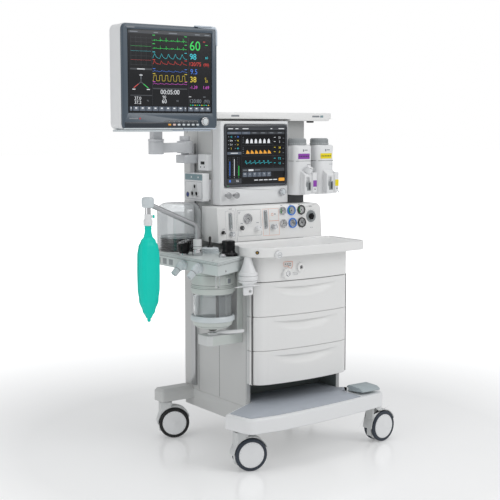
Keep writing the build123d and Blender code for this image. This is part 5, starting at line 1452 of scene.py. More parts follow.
def console():
    """The leaning panel with its printed fields, the gauges and tubes in it, and its knobs and switches."""
    z0, z1 = span("console_panel")[4:]
    build = fine("console_panel", warm_white, 3.0, 4)
    mark = lambda shape, finish: build.add(on_console(shape), finish)
    level = -HAIR
    # Sections of the panel, left to right: auxiliary oxygen, suction, total flow, pressures.
    mark(outline_mark(rectangle(-246, -203, 838, 948, 2), 0.7, level), grey_line)
    mark(sheet(rectangle(-195.4, -194.4, z0 + 2, z1 - 6), level), grey_line)
    mark(outline_mark(rectangle(-189, -77, 846, 949, 3), 1.1, level), mid_grey)
    mark(outline_mark(rectangle(-69, 12, 842, 949, 2), 1.2, level), peach_line)
    mark(sheet(rectangle(-38, 12, 899, 900.3), level), orange_line)
    mark(sheet(rectangle(-38.5, -37.4, 842, 949), level), peach_line)
    for left, low, width in ((-184, 940, 10), (-184, 934, 6), (-228, 954, 14), (-262, 878, 12),
            (-176, 896, 12), (-100, 895, 12),
                             (22, 958, 10), (66, 958, 10), (112, 958,
                                     10), (168, 948, 14), (170, 862, 4), (178, 862, 4)):
        mark(sheet(rectangle(left, left + width, low, low + 2.2), level), grey_line)
    mark(outline_mark(circle((-20, 925), 5.6, 24), 1.5, level), orange_line)
    mark(sheet(circle((-7, 926), 2.6, 16), level * 1.5), ink)
    for dx, dz in ((-8, -6), (8, -6), (0, -14)):
        mark(sheet(circle((-221 + dx, 858 + dz), 0.9, 8), level), ink)
    # The round recess that the system switch sits in.
    at = Vector((176, console_face(909), 909))
    build.add(lathe([(14.5, 0.3), (17, 0.5), (20, 1.8), (23.5, 2.0), (24.5, 0.2)], at, CONSOLE_OUT, 56),
              mid_grey)
    build.ring(box(26.5, 29.0, -0.5, 0.5, 0.1, 0.4, 0.0), 5, ink, at, CONSOLE_OUT, turn=24, first=40)
    done(build, "console_panel")

    build = Build()
    gauge(build, -141, 914, 20, chrome, white, None, 60)
    gauge(build, 31, 937, 16, chrome, white, green_mark, -70)
    gauge(build, 76, 937, 20, blue_ring, white, green_mark, -60)
    gauge(build, 126, 937, 19, dark_grey, white, green_mark, -60)
    gauge(build, 33, 886, 17, chrome, white, None, 200)
    gauge(build, 79, 886, 20, blue_ring, white, None, 150)
    gauge(build, 126, 886, 20, dark_grey, white, None, 200)
    for x, z, radius in ((126, 937, 19), (126, 886, 20)):
        at = Vector((x, console_face(z), z))
        build.add(lathe([(radius + 1, -1), (radius + 1.2, 4.5), (radius - 1, 6.4), (radius - 2.6, 6.2)], at,
                        CONSOLE_OUT, 8, capped=False), soft_black)
    flow_tube(build, -223, 907, 66)
    flow_tube(build, -54, 907, 70)
    done(build, "gauge_set")

    knobs = (("auxiliary_flow_knob", knob_silver), ("suction_knob", white),
             ("total_flow_knob", knob_silver))
    for node, rim in knobs:
        x0, x1, y0, y1, z0, z1 = span(node)
        x, z, radius = (x0 + x1) / 2, (z0 + z1) / 2, (x1 - x0) / 2
        length = y1 - y0
        front = (x, y0, z)
        profile = [(0, 0.6), (radius * 0.62, 0.6), (radius * 0.72, 0), (radius - 1.4, 0), (radius, 1.8),
                   (radius, length - 5), (radius * 0.6, length)]
        build = Build().add(lathe(profile + [(0, length)], front, INWARD, 40, 0.4), rim)
        build.add(lathe([(0, 0.2), (radius * 0.6, 0.2), (radius * 0.6, 1.2)], front, INWARD, 32), white)
        build.ring(box(radius - 0.5, radius - 0.02, -0.45, 0.45, 3, length - 6, 0.0), 28, rim, front,
                   INWARD)
        build.add(lathe([(0, 0.1), (1.4, 0.1), (1.4, 0.4)], (x, y0, z + radius * 0.35), INWARD, 12), ink)
        done(build, node)

    for node, wings, finish in (("gas_outlet_switch", 3, soft_black), ("suction_switch", 2, dark_grey)):
        x0, x1, y0, y1, z0, z1 = span(node)
        x, z = (x0 + x1) / 2, (z0 + z1) / 2
        length, reach = y1 - y0, (x1 - x0) / 2
        front = (x, y0, z)
        build = Build().add(lathe([(0, 0), (reach * 0.55, 0.4), (reach * 0.7, 2), (reach * 0.7, length),
                (0, length)], front, INWARD, 32, 0.4), finish)
        grip = box(0, reach * 0.98, -2.1, 2.1, 0.2, length * 0.62, 1.4, 3)
        build.ring(grip, wings, finish, front, INWARD, first=30 if wings == 3 else 90)
        if wings == 2:
            build.add(lathe([(reach * 0.7, length - 5), (reach, length - 4), (reach, length), (0, length)],
                            front, INWARD, 36, 0.4), pale_grey)
        build.add(lathe([(0, -0.1), (1.5, -0.1), (1.5, 0.5)], front, INWARD, 14), white)
        done(build, node)

    x0, x1, y0, y1, z0, z1 = span("system_switch")
    x, z, radius, length = (x0 + x1) / 2, (z0 + z1) / 2, (x1 - x0) / 2, y1 - y0
    front = (x, y0, z)
    ball = [(0, 0), (4, 0.5), (8, 2.4), (11.2, 6), (12.4, 10), (11.6, 14), (9.5, 18), (9.5, length),
            (0, length)]
    build = Build().add(lathe(ball, front, INWARD, 48), black)
    build.add(box(x - 2.2, x + 2.2, y0, y0 + 8, z - 12.6, z + 12.6, 1.6, 3), black)
    build.add(box(x - 0.5, x + 0.5, y0, y0 + 0.6, z + 3, z + 11.5, 0.0), white)
    done(build, "system_switch")


# ---- column and vaporizers --------------------------------------------------

def column():
    """The tower with its seams, the slanted bracket foot, the shelf's lamp and the rail side's fittings."""
    x0, _, y0, _, z0, z1 = span("tower_shell")
    bracket = lambda at, normal: at.x > 100 and at.x < 192 and at.y < 92 and at.z < 1000
    bar = lambda at, normal: 1050 < at.z < 1130 and at.x > 229
    build = fine("tower_shell", silver_paint, 1.6, 3, [(dark_grey, bracket), (rail_metal, bar)])
    build.add(box(x0 - 0.25, x0 + 0.6, 196, 197.2, z0 + 2, z1 - 2, 0.0), ink)
    build.add(box(x0 - 0.25, x0 + 0.6, y0 + 60, 196, 968, 969.0, 0.0), grey_line)
    screw = [(0, -1.2), (3.2, -1.2), (4.0, -0.4), (4.0, 1)]
    for level in (840, 1010, 1250):
        for x, axis in ((x0, RIGHT), (228, LEFT)):
            build.add(lathe(screw, (x, 276, level), axis, 24), chrome)
    vent = moved(box(227.6, 228.4, -1.8, 1.8, -30, 30, 0.0), Matrix.Translation((0, 140, 880)))
    build.row(vent, 14, ink, (0, 8.5, 0))
    done(build, "tower_shell")

    y0 = span("top_shelf")[2]
    lamp_part = lambda at, normal: at.z < 1295.5
    build = fine("top_shelf", warm_white, 2.0, 3, [(black, lamp_part)])
    build.add(sheet(rectangle(-180, -142, 1312, 1319, 1, 2), y0 - HAIR / 2), grey_line)
    build.add(sheet(rectangle(224, 262, 1311, 1318, 1, 2), y0 - HAIR / 2), grey_line)
    build.add(prism(rectangle(266, 282, 1310, 1319, 1.5, 3), y0 - HAIR, y0 + 1, 0.1, "front"), teal_strip)
    done(build, "top_shelf")


def vaporizer(side, label):
    """A vaporizer case with its collar line, label, filler block and dial."""
    node = f"vaporizer_{side}"
    dial = f"vaporizer_dial_{side}"
    x0, x1, _, _, z0, _ = span(node)
    x = (x0 + x1) / 2
    front = -7.0
    dark_top = lambda at, normal: at.z > 1199.5
    cap = lambda at, normal: at.y < -40.5 and side == "left" and at.z > 1060
    build = fine(node, white, 1.8, 3, [(soft_black, dark_top), (mid_grey, cap)])
    split = z0 + 138
    build.add(outline_mark(rectangle(x0 - 0.25, x0 + 92.25, front - 0.25, 85.25, 14), 0.8, split, "up"),
              ink)
    build.add(box(x0 + 2, x0 + 90, front - 0.35, front + 1, split - 0.8, split + 0.5, 0.0), ink)
    build.add(box(x0 - 0.25, x0 + 1, front + 12, 72, split - 0.8, split + 0.5, 0.0), ink)
    build.add(box(x0 + 60, x0 + 80, front - 0.3, front + 1, split - 16, split - 14.6, 0.0), grey_line)
    build.add(prism(rectangle(x - 31, x + 27, 1142, 1164, 1.5, 3), front - 0.5, front + 1, 0.15, "front"),
              label)
    for i in range(6):
        build.add(sheet(rectangle(x - 27 + i * 8.6, x - 21 + i * 8.6, 1151, 1155), front - 0.75), ink)
    build.add(sheet(rectangle(x + 1, x + 16, 1176, 1179.5), front - HAIR), grey_line)
    build.add(sheet(rectangle(x - 8, x - 2, 1172, 1181), front - HAIR), grey_line)
    slot_x, slab_front = x + 29, -41.0
    build.add(prism(rectangle(x + 20, x + 38, 1030, 1056, 1, 3), slab_front - 0.5, slab_front + 1, 0.15,
                    "front"), label)
    build.add(sheet(circle((slot_x, 1020), 2.6, 14), slab_front - HAIR), ink)
    build.add(prism(rectangle(x - 6, x + 14, 1014, 1050, 2, 3), -33.4, -31, 0.2, "front"), mid_grey)
    build.add(prism(rectangle(x + 2, x + 11, 1018, 1046, 1.5, 3), -34.2, -32, 0.2, "front"), dark_grey)
    if side == "right":
        build.add(tube([(x + 38, -36, 1012), (x + 43, -38, 1004), (x + 42, -38, 997)], 1.6, 4, 10),
                  mid_grey)
    done(build, node)

    dx0, dx1, dy0, dy1, dz0, dz1 = span(dial)
    centre = Vector(((dx0 + dx1) / 2, (dy0 + dy1) / 2, dz0))
    radius, height = (dx1 - dx0) / 2, dz1 - dz0
    profile = [(0, 0), (radius - 1, 0), (radius, 1.5), (radius, 7), (radius - 2.2, 8.5),
               (radius - 2.2, height - 4), (radius - 5.5, height), (0, height)]
    build = Build().add(lathe(profile, centre, UP, 72, 0.6), dial_grey)
    build.ring(box(radius - 2.6, radius - 1.5, -1.1, 1.1, 9.5, height - 5, 0.3, 1), 34, mid_grey, centre,
               UP)
    build.ring(box(radius - 0.4, radius - 0.01, -0.4, 0.4, 2, 6.6, 0.0), 30, white, centre, UP)
    angle = math.radians(-52)
    bump = centre + Vector((math.cos(angle), math.sin(angle), 0)) * (radius - 9)
    build.add(lathe([(0, 1.2), (5.5, 1.2), (7, 0), (7, -9)], (bump.x, bump.y, dz1 - 1.3), UP, 28, 0.6),
              white)
    build.add(lathe([(12, height), (12, height - 0.2), (11, height - 0.4), (0, height - 0.4)], centre, UP,
                    40), mid_grey)
    done(build, dial)


console()
column()
vaporizer("left", purple)
vaporizer("right", yellow)


# ---- breathing block --------------------------------------------------------

POST = (-400.0, -60.0, span("breathing_block")[5])   # foot of the bag arm
CAP = (-310.0, -136.0, span("breathing_block")[5])   # foot of the bell-shaped sensor cap
CANISTER = tuple(middle("absorber_canister").xy)


def block():
    """The grey block with its layered rim, feet and screws."""
    x0, x1, y0, y1, z0, z1 = span("breathing_block")
    build = fine("breathing_block", block_grey, 1.4, 3)
    outline = [(x0, y0), (x1 - 3, y0 + 129), (x1 - 3, y1), (x0, y1)]
    for level, drop in ((z1 - 4.5, 0.3), (z1 - 9.5, 0.3), (z1 - 13.5, 0.2)):
        build.add(band(outline, drop, 1.0, level - 0.6, level + 0.6), dark_grey if level < z1 - 12
                  else mid_grey)
    out = Vector((0.508, -0.862, 0.0))
    for share, low in ((0.30, 748), (0.66, 756), (0.86, 750)):
        at = Vector((x0, y0, 0)).lerp(Vector((x1, y0 + 129, 0)), share) - out * 9
        at.z = low
        build.add(lathe([(0, -2.4), (6.4, -2.4), (7.6, -1.2), (7.6, 1), (0, 1)], at, -out, 28, 0.4), chrome)
        build.add(lathe([(0, -2.7), (3.0, -2.7), (3.0, -2.0)], at, -out, 6), soft_black)
    # A black sheet on the block's underside: painted shade for the dark gap beneath the block.
    shade_sheet_under_block = [(x0 + 30, y0 + 34), (x1 - 24, y0 + 150), (x1 - 24, y1 - 20), (x0 + 30, y1 - 20)]
    build.add(prism(shade_sheet_under_block, z0 - 0.6, z0 + 1, 0.4), soft_black)
    for y in (y0 + 60, 0.0, y1 - 60):
        build.add(lathe([(0, 0.8), (4.2, 0.8), (5.2, 0), (5.2, -1)], (x0 + 17, y, z1), UP, 24), chrome)
    build.row(moved(box(x0 + 8.4, x0 + 9.6, -14, 14, z0 + 8, z0 + 30, 0.4), Matrix.Translation((0, 60, 0))),
              3, mid_grey, (0, 46, 0))
    done(build, "breathing_block")


def hose_port(build, y, z, side):
    """A hose port: ribbed collar, elbow and tapered spigot with a dark bore."""
    down = Vector((-0.7071, 0, -0.7071))
    elbow = Vector((side - 16, y, z))
    build.add(lathe([(11, 0), (18.4, 0), (20, 1.6), (20, 12.4), (18.4, 14), (11, 14)], (side, y, z), LEFT,
                    40), ring_white)
    build.ring(box(18.2, 19.95, -1.6, 1.6, 1.8, 12.2, 0.5), 18, ring_white, (side, y, z), LEFT)
    ball = [(0, 15.6), (8, 14), (13, 9.5), (15.4, 4), (15.6, 0), (15.4, -4), (13, -9.5), (8, -14),
            (0, -15.6)]
    build.add(lathe(ball, elbow, (0.3, 0.0, 0.95), 40), ring_white)
    spigot = [(15.4, 3), (15.4, 15), (14.4, 16.4), (13, 17), (12.4, 44), (11.6, 46), (9.6, 46), (9.2, 44),
              (9.2, 20)]
    build.add(lathe(spigot, elbow, down, 44), ring_white)
    build.add(lathe([(9.3, 26), (0, 26)], elbow, down, 32), soft_black)
    build.add(lathe([(12.9, 19.5), (13.3, 20), (13.3, 21.6), (12.8, 22.1)], elbow, down, 44), mid_grey)


def fittings():
    """Everything that stands on or hangs from the block, apart from the moving knobs."""
    bx0, _, by0, _, bz0, bz1 = span("breathing_block")
    side, level = bx0 + 9.0, bz1 - 35.0
    build = Build()
    for y in (-40.0, -150.0):
        hose_port(build, y, level, side)
    cap = Vector(CAP)
    radius = 35.0
    bell = [(0, 57.5), (21.5, 57.5), (24, 56), (25, 53), (24.6, 34), (24, 22), (26, 14), (30, 10.4),
            (33.5, 8.6), (radius, 6.4), (radius, 1), (radius - 1, 0), (0, 0)]
    build.add(lathe(bell, cap, UP, 64), black)
    build.ring(box(24.1, 24.95, -1.1, 1.1, 26, 52, 0.4), 26, black, cap, UP)
    build.ring(box(28.5, 30.5, -0.6, 0.6, 10.6, 11.2, 0.0), 9, chrome, cap, UP, turn=14, first=196)
    sensor = cap + Vector((-47, -30, 0))
    build.add(lathe([(0, 12.8), (8.8, 12.8), (9.8, 11.8), (9.8, 8.6), (12.8, 8.4), (13.8, 7.4), (13.8, 0),
            (0, 0)], sensor, UP, 48), chrome)
    build.ring(box(12.9, 13.9, -0.55, 0.55, 0.8, 7.2, 0.0), 36, tube_steel, sensor, UP)
    build.ring(box(9.0, 9.9, -0.5, 0.5, 8.9, 11.8, 0.0), 26, chrome, sensor, UP)
    post = Vector(POST)
    build.add(lathe([(11.2, 24), (17, 24), (18.6, 22.4), (18.6, 15.5), (19.9, 14), (19.9, 2), (19, 0),
            (11.2, 0)], post, UP, 56), chrome)
    build.ring(box(18.8, 19.95, -0.7, 0.7, 2.6, 13.4, 0.0), 40, tube_steel, post, UP)
    apl = Vector((*middle("apl_knob").xy, bz1))
    build.add(lathe([(6, 7), (17.4, 7), (19, 5.4), (19, 0), (6, 0)], apl, UP, 48), chrome)
    lever = Vector((-312.0, -12.0, bz1))
    build.add(lathe([(7, 12), (34.2, 12), (36, 10.4), (36, 7.6), (34.4, 6.4), (34.4, 4), (36, 2.8), (36, 0),
            (7, 0)], lever, UP, 72), ring_white)
    build.ring(box(34.2, 35.95, -1.0, 1.0, 7.6, 11, 0.4), 30, ring_white, lever, UP)
    x, y, top = bx0 + 34.0, by0 + 67.0, bz0
    wire = [(x, y, top), (x, y, top - 52), (x + 28, y + 16, top - 52), (x + 28, y + 16, top)]
    build.add(tube(wire, 1.9, 12, 14), chrome)
    for foot in (wire[0], wire[-1]):
        build.add(lathe([(0, 0), (4.2, 0), (4.2, 4.5), (3.2, 5.6), (0, 5.6)], foot, (0, 0, -1), 24, 0.4),
                  chrome)
    done(build, "block_fittings")


def limiting_valve():
    """The pressure limiting knob, its slanted scale marked round the rim."""
    x0, x1, y0, y1, z0, _ = span("apl_knob")
    x, y, radius, low = (x0 + x1) / 2, (y0 + y1) / 2, (x1 - x0) / 2, z0 + 5.5
    profile = [(0, 60), (radius - 6, 60), (radius - 1, 54), (radius, 44), (radius, 14), (radius - 3, 5),
               (radius - 6, 0.5), (radius - 8, 0), (0, 0)]
    shape = lathe(profile, (x, y, low), UP, 56)
    tilt = Matrix.Rotation(math.radians(-20), 4, "Y")
    normal = (tilt @ Vector(UP)).normalized()
    top = Vector((x, y, low + 42.5))
    cut = bmesh.ops.bisect_plane(shape, geom=shape.verts[:] + shape.edges[:] + shape.faces[:], dist=0.001,
            plane_co=top,
                                 plane_no=normal, clear_outer=True)
    rim = [e for e in cut["geom_cut"] if isinstance(e, bmesh.types.BMEdge)]
    bmesh.ops.contextual_create(shape, geom=rim)
    bmesh.ops.recalc_face_normals(shape, faces=shape.faces)
    build = Build().add(eased(shape, 1.2, 2, 30), black)
    build.ring(box(radius - 0.9, radius - 0.05, -1.3, 1.3, 12, 30, 0.3), 22, black, (x, y, low), UP)
    centre = top + normal * 0.15
    build.ring(box(radius - 8.5, radius - 5.0, -0.6, 0.6, 0.0, 0.35, 0.0), 12, white, centre, normal,
               turn=20, first=150)
    build.ring(box(radius - 13.5, radius - 10.5, -1.2, 1.2, 0.0, 0.3, 0.0), 6, white, centre, normal,
               turn=38, first=155)
    build.add(lathe([(0, 0.3), (4.2, 0.3), (5, 0)], centre, normal, 28), soft_black)
    build.add(lathe([(5, -5.5), (5, 0), (0, 0)], (x, y, low), UP, 24), chrome)
    done(build, "apl_knob")


def selector():
    """The bag or ventilator selector: a pale ribbed disc with a black slanted lever."""
    x, y, low = -312.0, -12.0, span("mode_lever")[4] + 10.5
    radius = 34.0
    disc = [(0, 9), (radius - 9, 9), (radius - 6.5, 7.6), (radius - 2, 6.4), (radius, 4.6), (radius, 1),
            (radius - 1, 0), (0, 0)]
    build = Build().add(lathe(disc, (x, y, low), UP, 72), ring_white)
    build.ring(box(radius - 0.9, radius - 0.05, -0.9, 0.9, 1, 4.4, 0.3), 40, ring_white, (x, y, low), UP)
    build.add(lathe([(0, 16), (7, 15.4), (10.5, 12.5), (12, 8.5)], (x, y, low), UP, 36), soft_black)
    lean = Vector((0.2, 0.3, 0.92)).normalized()
    foot = Vector((x, y, low + 6))
    route = [foot + lean * reach for reach in (0, 16, 36, 43, 45)]
    build.add(tube(route, lambda t: (4.2, 4.4, 5.4, 5.0, 2.6)[round(t * 4)], sides=20), soft_black)
    build.add(lathe([(6, -10.5), (6, 0), (0, 0)], (x, y, low), UP, 24), chrome)
    done(build, "mode_lever")


# ---- bellows ----------------------------------------------------------------

def bellows():
    """The clear dome, the black pleated bellows and the plate that rides on it."""
    x0, x1, y0, y1, z0, z1 = span("bellows_dome")
    build = Build().add(cad_copy("bellows_dome", 0), dome_clear)
    centre = Vector(((x0 + x1) / 2, (y0 + y1) / 2, z0))
    radius = (x1 - x0) / 2
    build.ring(box(radius - 7, radius - 3, -2, 2, 5.6, 7.2, 0.4), 6, mid_grey, centre, UP, first=15)
    for step in range(9):
        level = 24 + step * 15
        build.ring(box(88.05, 88.3, -0.25, 0.25, level, level + 0.7, 0.0), 10, ink, centre, UP, turn=1.0,
                   first=214)
    done(build, "bellows_dome")

    x0, x1, y0, y1, z0, z1 = span("bellows")
    outer, inner, pleats = (x1 - x0) / 2, (x1 - x0) / 2 - 9.0, 6
    pitch = (z1 - z0) / pleats
    profile = [(0, 0), (inner, 0)]
    for i in range(pleats):
        low = i * pitch
        profile += [(inner, low + 0.4), (outer - 1.2, low + pitch * 0.36), (outer, low + pitch * 0.5),
                    (outer - 1.2, low + pitch * 0.64), (inner, low + pitch - 0.4)]
    profile += [(inner, z1 - z0), (0, z1 - z0)]
    made = Build().add(lathe(profile, (centre.x, centre.y, z0), UP, 72),
            bellows_black).object("bellows_pleats", 60.0)
    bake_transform(made)
    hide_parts("bellows")

    x0, x1, y0, y1, z0, z1 = span("bellows_plate")
    radius = (x1 - x0) / 2
    plate = [(0, 5.4), (radius - 12, 5.4), (radius - 9, 7.7), (radius - 2, 7.7), (radius, 5.8),
             (radius, 0.8), (radius - 0.8, 0), (0, 0)]
    build = Build().add(lathe(plate, (centre.x, centre.y, z0), UP, 72), mid_grey)
    build.ring(box(14, radius - 14, -1.6, 1.6, 5.2, 6.8, 0.5), 8, mid_grey, (centre.x, centre.y, z0), UP)
    build.add(lathe([(0, 7.4), (11, 7.4), (13, 5.2)], (centre.x, centre.y, z0), UP, 40), dark_grey)
    done(build, "bellows_plate")


# ---- absorber canister ------------------------------------------------------

def canister():
    """The clear jar in its carrying ring, with the bowl and cartridge tray."""
    x0, x1, y0, y1, z0, z1 = span("absorber_canister")
    x, y = (x0 + x1) / 2, (y0 + y1) / 2
    wall, radius, base = 3.0, 73.0, z0 + 12.0
    height = z1 - base
    at = (x, y, base)
    jar = [(radius - 2, 10), (radius, 13), (radius, height - 8), (radius + 1.4, height - 6.5),
           (radius + 1.4, height - 3), (radius, height),
           (radius - wall, height), (radius - wall, 14), (radius - wall - 2, 12), (0, 12), (0, 10)]
    build = Build().add(lathe(jar + [(radius - 2, 10)], at, UP, 96), jar_clear)
    carrying = [(radius + 0.4, 28), (radius + 5, 28), (84, 31), (84, 45), (81, 50), (radius + 1.5, 50),
                (radius + 0.4, 47), (radius + 0.4, 28)]
    build.add(lathe(carrying, at, UP, 96), ring_white)
    bowl = [(0, 0), (52, 0), (60, 2.4), (69, 9), (76, 20), (77, 24), (77, 29), (radius + 0.6, 29),
            (radius + 0.2, 12), (60, 6), (0, 6)]
    build.add(lathe(bowl, at, UP, 96), collar_grey)
    build.add(lathe([(0, -12), (14, -12), (16, -10), (16, 1), (0, 1)], at, UP, 40, 0.6), soft_black)
    tray = [(0, 15), (60, 15), (64, 17), (64, 24), (62, 24), (60, 18), (0, 18)]
    build.add(lathe(tray, at, UP, 72), mid_grey)
    for ring_radius, count in ((20, 14), (32, 22), (44, 30), (54, 38)):
        build.ring(box(ring_radius - 2.2, ring_radius + 2.2, -1.4, 1.4, 17.6, 18.4, 0.0), count, dark_grey,
                   at, UP)
    build.add(box(x + 22, x + 52, y - 12, y + 12, base + 18, z1 - 3, 2.0), mid_grey)
    build.add(box(x + 20.5, x + 24, y - 9, y + 9, base + 30, z1 - 16, 0.6), soft_black)
    build.ring(box(81, 83.95, -9, 9, 30.5, 34, 1.2), 3, ring_white, at, UP, first=20)
    done(build, "absorber_canister")


def bracket():
    """The collar that the canister seals against, with its bands, tab and lower arm, and the lever."""
    arm = lambda at, normal: at.z < 490
    plate = lambda at, normal: at.x > -262
    build = fine("canister_bracket", collar_grey, 1.4, 3, [(silver_paint, plate), (pale_grey, arm)])
    cx, cy = CANISTER
    at = (cx, cy, 646.5)
    for radius, level in ((80.15, 34), (80.15, 72), (83.15, 22)):
        build.add(lathe([(radius, level), (radius, level + 1.2)], at, UP, 96), ink)
    heading = math.radians(-75)
    tab = moved(box(78, 84, -13, 13, 36, 66, 2.4, 3),
                Matrix.Translation(at) @ Matrix.Rotation(heading, 4, "Z"))
    build.add(tab, collar_grey)
    tab = moved(box(83.6, 84.6, -8, 8, 42, 60, 0.8),
                Matrix.Translation(at) @ Matrix.Rotation(heading, 4, "Z"))
    build.add(tab, grey_line)
    done(build, "canister_bracket")

    z0 = span("canister_lever")[4]
    heading = Matrix.Rotation(math.radians(-38), 4, "Z")
    hub = Vector((cx, cy, z0))
    line = ((10, 0, 5), (24, 0, 8), (70, 0, 10), (112, 0, 14), (119, 0, 15), (121.5, 0, 15.2))
    bar = [hub + heading @ Vector(point) for point in line]
    build = Build().add(tube(bar, lambda t: (4.8, 7.2, 7.6, 7.4, 5.6, 2.4)[round(t * 5)], sides=24), white)
    build.add(lathe([(8.2, 0), (19, 0), (20, 1), (20, 7), (18.6, 8), (8.2, 8)], hub, UP, 48), white)
    done(build, "canister_lever")


def trap():
    """The water trap's bands and cone, and the wing tap below it."""
    x0, x1, y0, y1, z0, z1 = span("water_trap")
    x, y, radius = (x0 + x1) / 2, (y0 + y1) / 2, (x1 - x0) / 2 - 0.6
    height = z1 - z0
    belt = 50.0  # top of the straight part
    profile = [(0, 0), (radius - 16, 0), (radius - 14, 1.5), (radius - 14, 9), (radius - 7, 11),
               (radius - 1.5, 13), (radius, 15),
               (radius, 26), (radius + 0.6, 27), (radius + 0.6, 31), (radius,
                       32), (radius, belt - 3), (radius - 2, belt), (radius - 5, belt + 1.5),
               (radius - 8, belt + 8), (21, belt + 26), (16, height - 14), (13,
                       height - 0.2), (0, height - 0.2)]
    build = Build().add(lathe(profile, (x, y, z0), UP, 64), white)
    for level in (20.5, 38.0):
        build.add(lathe([(radius + 0.1, level), (radius + 0.1, level + 0.9)], (x, y, z0), UP, 64), ink)
    build.ring(box(radius - 14.4, radius - 13.6, -1.0, 1.0, 2, 8.6, 0.3), 24, white, (x, y, z0), UP)
    done(build, "water_trap")
    done(fine("drain_wing", white, 1.6, 3), "drain_wing")


# ---- bag arm and bag --------------------------------------------------------

def bag_support():
    """The swan-neck tube with its sleeve, cap and the connector that holds the bag."""
    z0, top = span("bag_arm")[4:]
    post, end = Vector(POST), middle("breathing_bag").x
    y = post.y
    neck_top = span("breathing_bag")[5]
    build = Build()
    route = [(post.x, y, z0), (post.x, y, post.z + 112), (end, y, top - 24)]
    build.add(tube(route, 9.5, 34, 28), tube_steel)
    build.add(lathe([(0, 2.1), (10.9, 2.1), (10.9, 62), (0, 62)], post, UP, 40), tube_steel)
    build.add(lathe([(11, 24.4), (15.2, 24.4), (16, 25.4), (16, 59), (14.4, 61.5), (10, 62)], post, UP, 48),
              pale_grey)
    build.add(lathe([(16.02, 34), (16.15, 34.2), (16.15, 35.2), (16.02, 35.4)], post, UP, 48), ink)
    cap_low = top - 38
    cap = [(0, 38), (15, 38), (20.5, 36), (22.6, 31), (23, 26), (23, 12.5), (22.2, 11.5), (22.2, 10),
           (23, 9), (21, 1.5), (18, 0), (0, 0)]
    build.add(lathe(cap, (end, y, cap_low), UP, 64), ring_white)
    build.add(lathe([(0, -1), (10.5, -1), (10.5, neck_top + 42 - cap_low), (0, neck_top + 42 - cap_low)],
                    (end, y, cap_low), UP, 40), chrome)
    foot = neck_top + 0.3
    ring = [(10.5, 0), (15.6, 0), (17, 1.4), (17, 6), (16, 7), (16, 9), (17, 10), (17, 19), (15, 22.5),
            (13.2, 24), (13.2, 39), (12, 42), (10.5, 42)]
    build.add(lathe(ring, (end, y, foot), UP, 56), white)
    build.ring(box(16.1, 16.95, -0.9, 0.9, 10.6, 18.6, 0.3), 30, white, (end, y, foot), UP)
    side = Vector((0.82, -0.57, 0))
    stub = Vector((end, y, foot + 33))
    build.add(lathe([(4.6, 11), (4.6, 19), (0, 19)], stub, side, 20), white)
    build.add(lathe([(6, 18), (6.4, 19), (6.4, 23), (5, 24.5), (0, 24.5)], stub, side, 24), bag_teal)
    build.add(lathe([(0, 0), (10.4, 0), (10.4, -22), (9.4, -23), (0, -23)], (end, y, neck_top - 2), UP, 32),
              tube_steel)
    done(build, "bag_arm")


def bag_paint():
    """Green latex: a waxy sheen, a tone that darkens at random and a fine bloom."""
    paint = Paint("bag_latex")
    at = paint.place()
    bloom = paint.noise(9.0, 4.0, at)
    fine_grain = paint.noise(420.0, 3.0, at)
    paint.set("Base Color", paint.blend(bloom, rgb(0, 200, 182), rgb(6, 226, 206)))
    paint.set("Roughness", bloom * 0.12 + fine_grain * 0.05 + 0.36)
    paint.set("Specular IOR Level", 0.3)
    paint.set("Subsurface Weight", 0.12)
    paint.set("Subsurface Radius", (0.004, 0.012, 0.01))
    paint.bump(fine_grain, 0.12, 0.0003)
    return paint.material


def smooth(edge0, edge1, value):
    share = min(1.0, max(0.0, (value - edge0) / (edge1 - edge0)))
    return share * share * (3 - 2 * share)


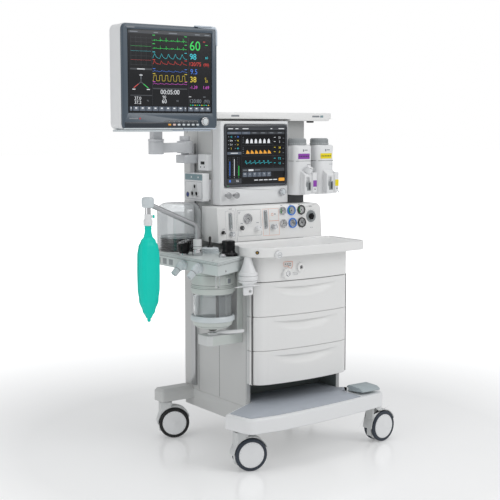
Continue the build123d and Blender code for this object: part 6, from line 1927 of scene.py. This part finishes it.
def bag():
    """The half filled bag: gathered under its neck, flat sided, with soft upright folds and a tip."""
    x0, x1, y0, y1, z0, z1 = span("breathing_bag")
    x, y = (x0 + x1) / 2, (y0 + y1) / 2
    half_width, half_depth, neck, neck_height = (x1 - x0) / 2 - 0.4, (y1 - y0) / 2 - 0.4, 13.0, 26.0
    shoulder = z1 - neck_height
    length = shoulder - z0
    widths = ((0.0, 0.31), (0.04, 0.40), (0.09, 0.70), (0.15, 0.90), (0.24, 0.985), (0.45, 1.0),
              (0.62, 0.98),
              (0.76, 0.86), (0.88, 0.56), (0.945, 0.30), (0.965, 0.16), (0.985, 0.155), (1.0, 0.10))

    def width_at(share):
        for (a, low), (b, high) in zip(widths, widths[1:]):
            if share <= b:
                return low + (high - low) * smooth(a, b, share)
        return widths[-1][1]

    rings, sides, levels = [], 96, 130
    for step in range(levels + 1):
        share = step / levels
        z = shoulder - share * length
        wide = half_width * width_at(share)
        deep = max(half_depth * width_at(share) ** 0.8, min(wide, neck * (1 - 0.55 * share)))
        full = smooth(0.06, 0.3, share) * smooth(1.0, 0.8, share)
        gather = smooth(0.26, 0.05, share) * smooth(-0.01, 0.03, share)
        gather += 0.15 * smooth(0.8, 0.95, share) * smooth(1.0, 0.96, share)
        ring = []
        for i in range(sides):
            turn = 2 * math.pi * i / sides
            c, s = math.cos(turn), math.sin(turn)
            power = 2 / (2.0 + 0.9 * full)
            px = wide * math.copysign(abs(c) ** power, c)
            py = deep * math.copysign(abs(s) ** power, s)
            valley = (px - 9 - 5 * math.sin(share * 3.0)) / 5.0
            ridge = (px + 17 + 4 * math.sin(share * 2.2)) / 7.0
            crease = -2.6 * full * math.exp(-valley ** 2) * (1 if s < 0 else 0.5)
            crease += 1.6 * full * math.exp(-ridge ** 2)
            edge = -1.8 * full * math.exp(-((abs(px) - wide * 0.86) / 4.5) ** 2)
            ripple = 0.5 + 0.5 * math.sin(turn * 17 + 1.3 * math.sin(turn * 3))
            pleat = -gather * ripple * min(1.0, wide / 20)
            py += math.copysign(crease + edge, s) * abs(s) ** 0.6
            scale = 1 + pleat / max(wide, 8)
            ring.append(Vector((x + px * scale, y + max(-half_depth, min(half_depth, py * scale)), z)))
        rings.append(ring)
    beads = ((10.9, 0), (12.4, 0), (13.0, 1.2), (13.0, 5), (12.2, 6), (12.2, 9), (13.0, 10), (13.0, 13),
             (12.2, 14), (12.4, 22))
    mouth = [[Vector((u, v, z1 - below)) for u, v in circle((x, y), radius, sides)] for radius,
             below in beads]
    build = Build().add(loft(mouth + rings), bag_teal)
    for side in (-1, 1):
        shares = [t / 40 for t in range(3, 39)]
        seam = [(x + side * (half_width * width_at(t) * 0.999 - 0.35), y, shoulder - length * t)
                for t in shares]
        build.add(tube(seam, 0.9, sides=8), bag_seam)
    done(build, "breathing_bag")


bag_teal = bag_paint()
bag_seam = rubber("bag_edge_rubber", rgb(6, 120, 104), 0.5)

block()
fittings()
limiting_valve()
selector()
bellows()
canister()
bracket()
trap()
bag_support()
bag()
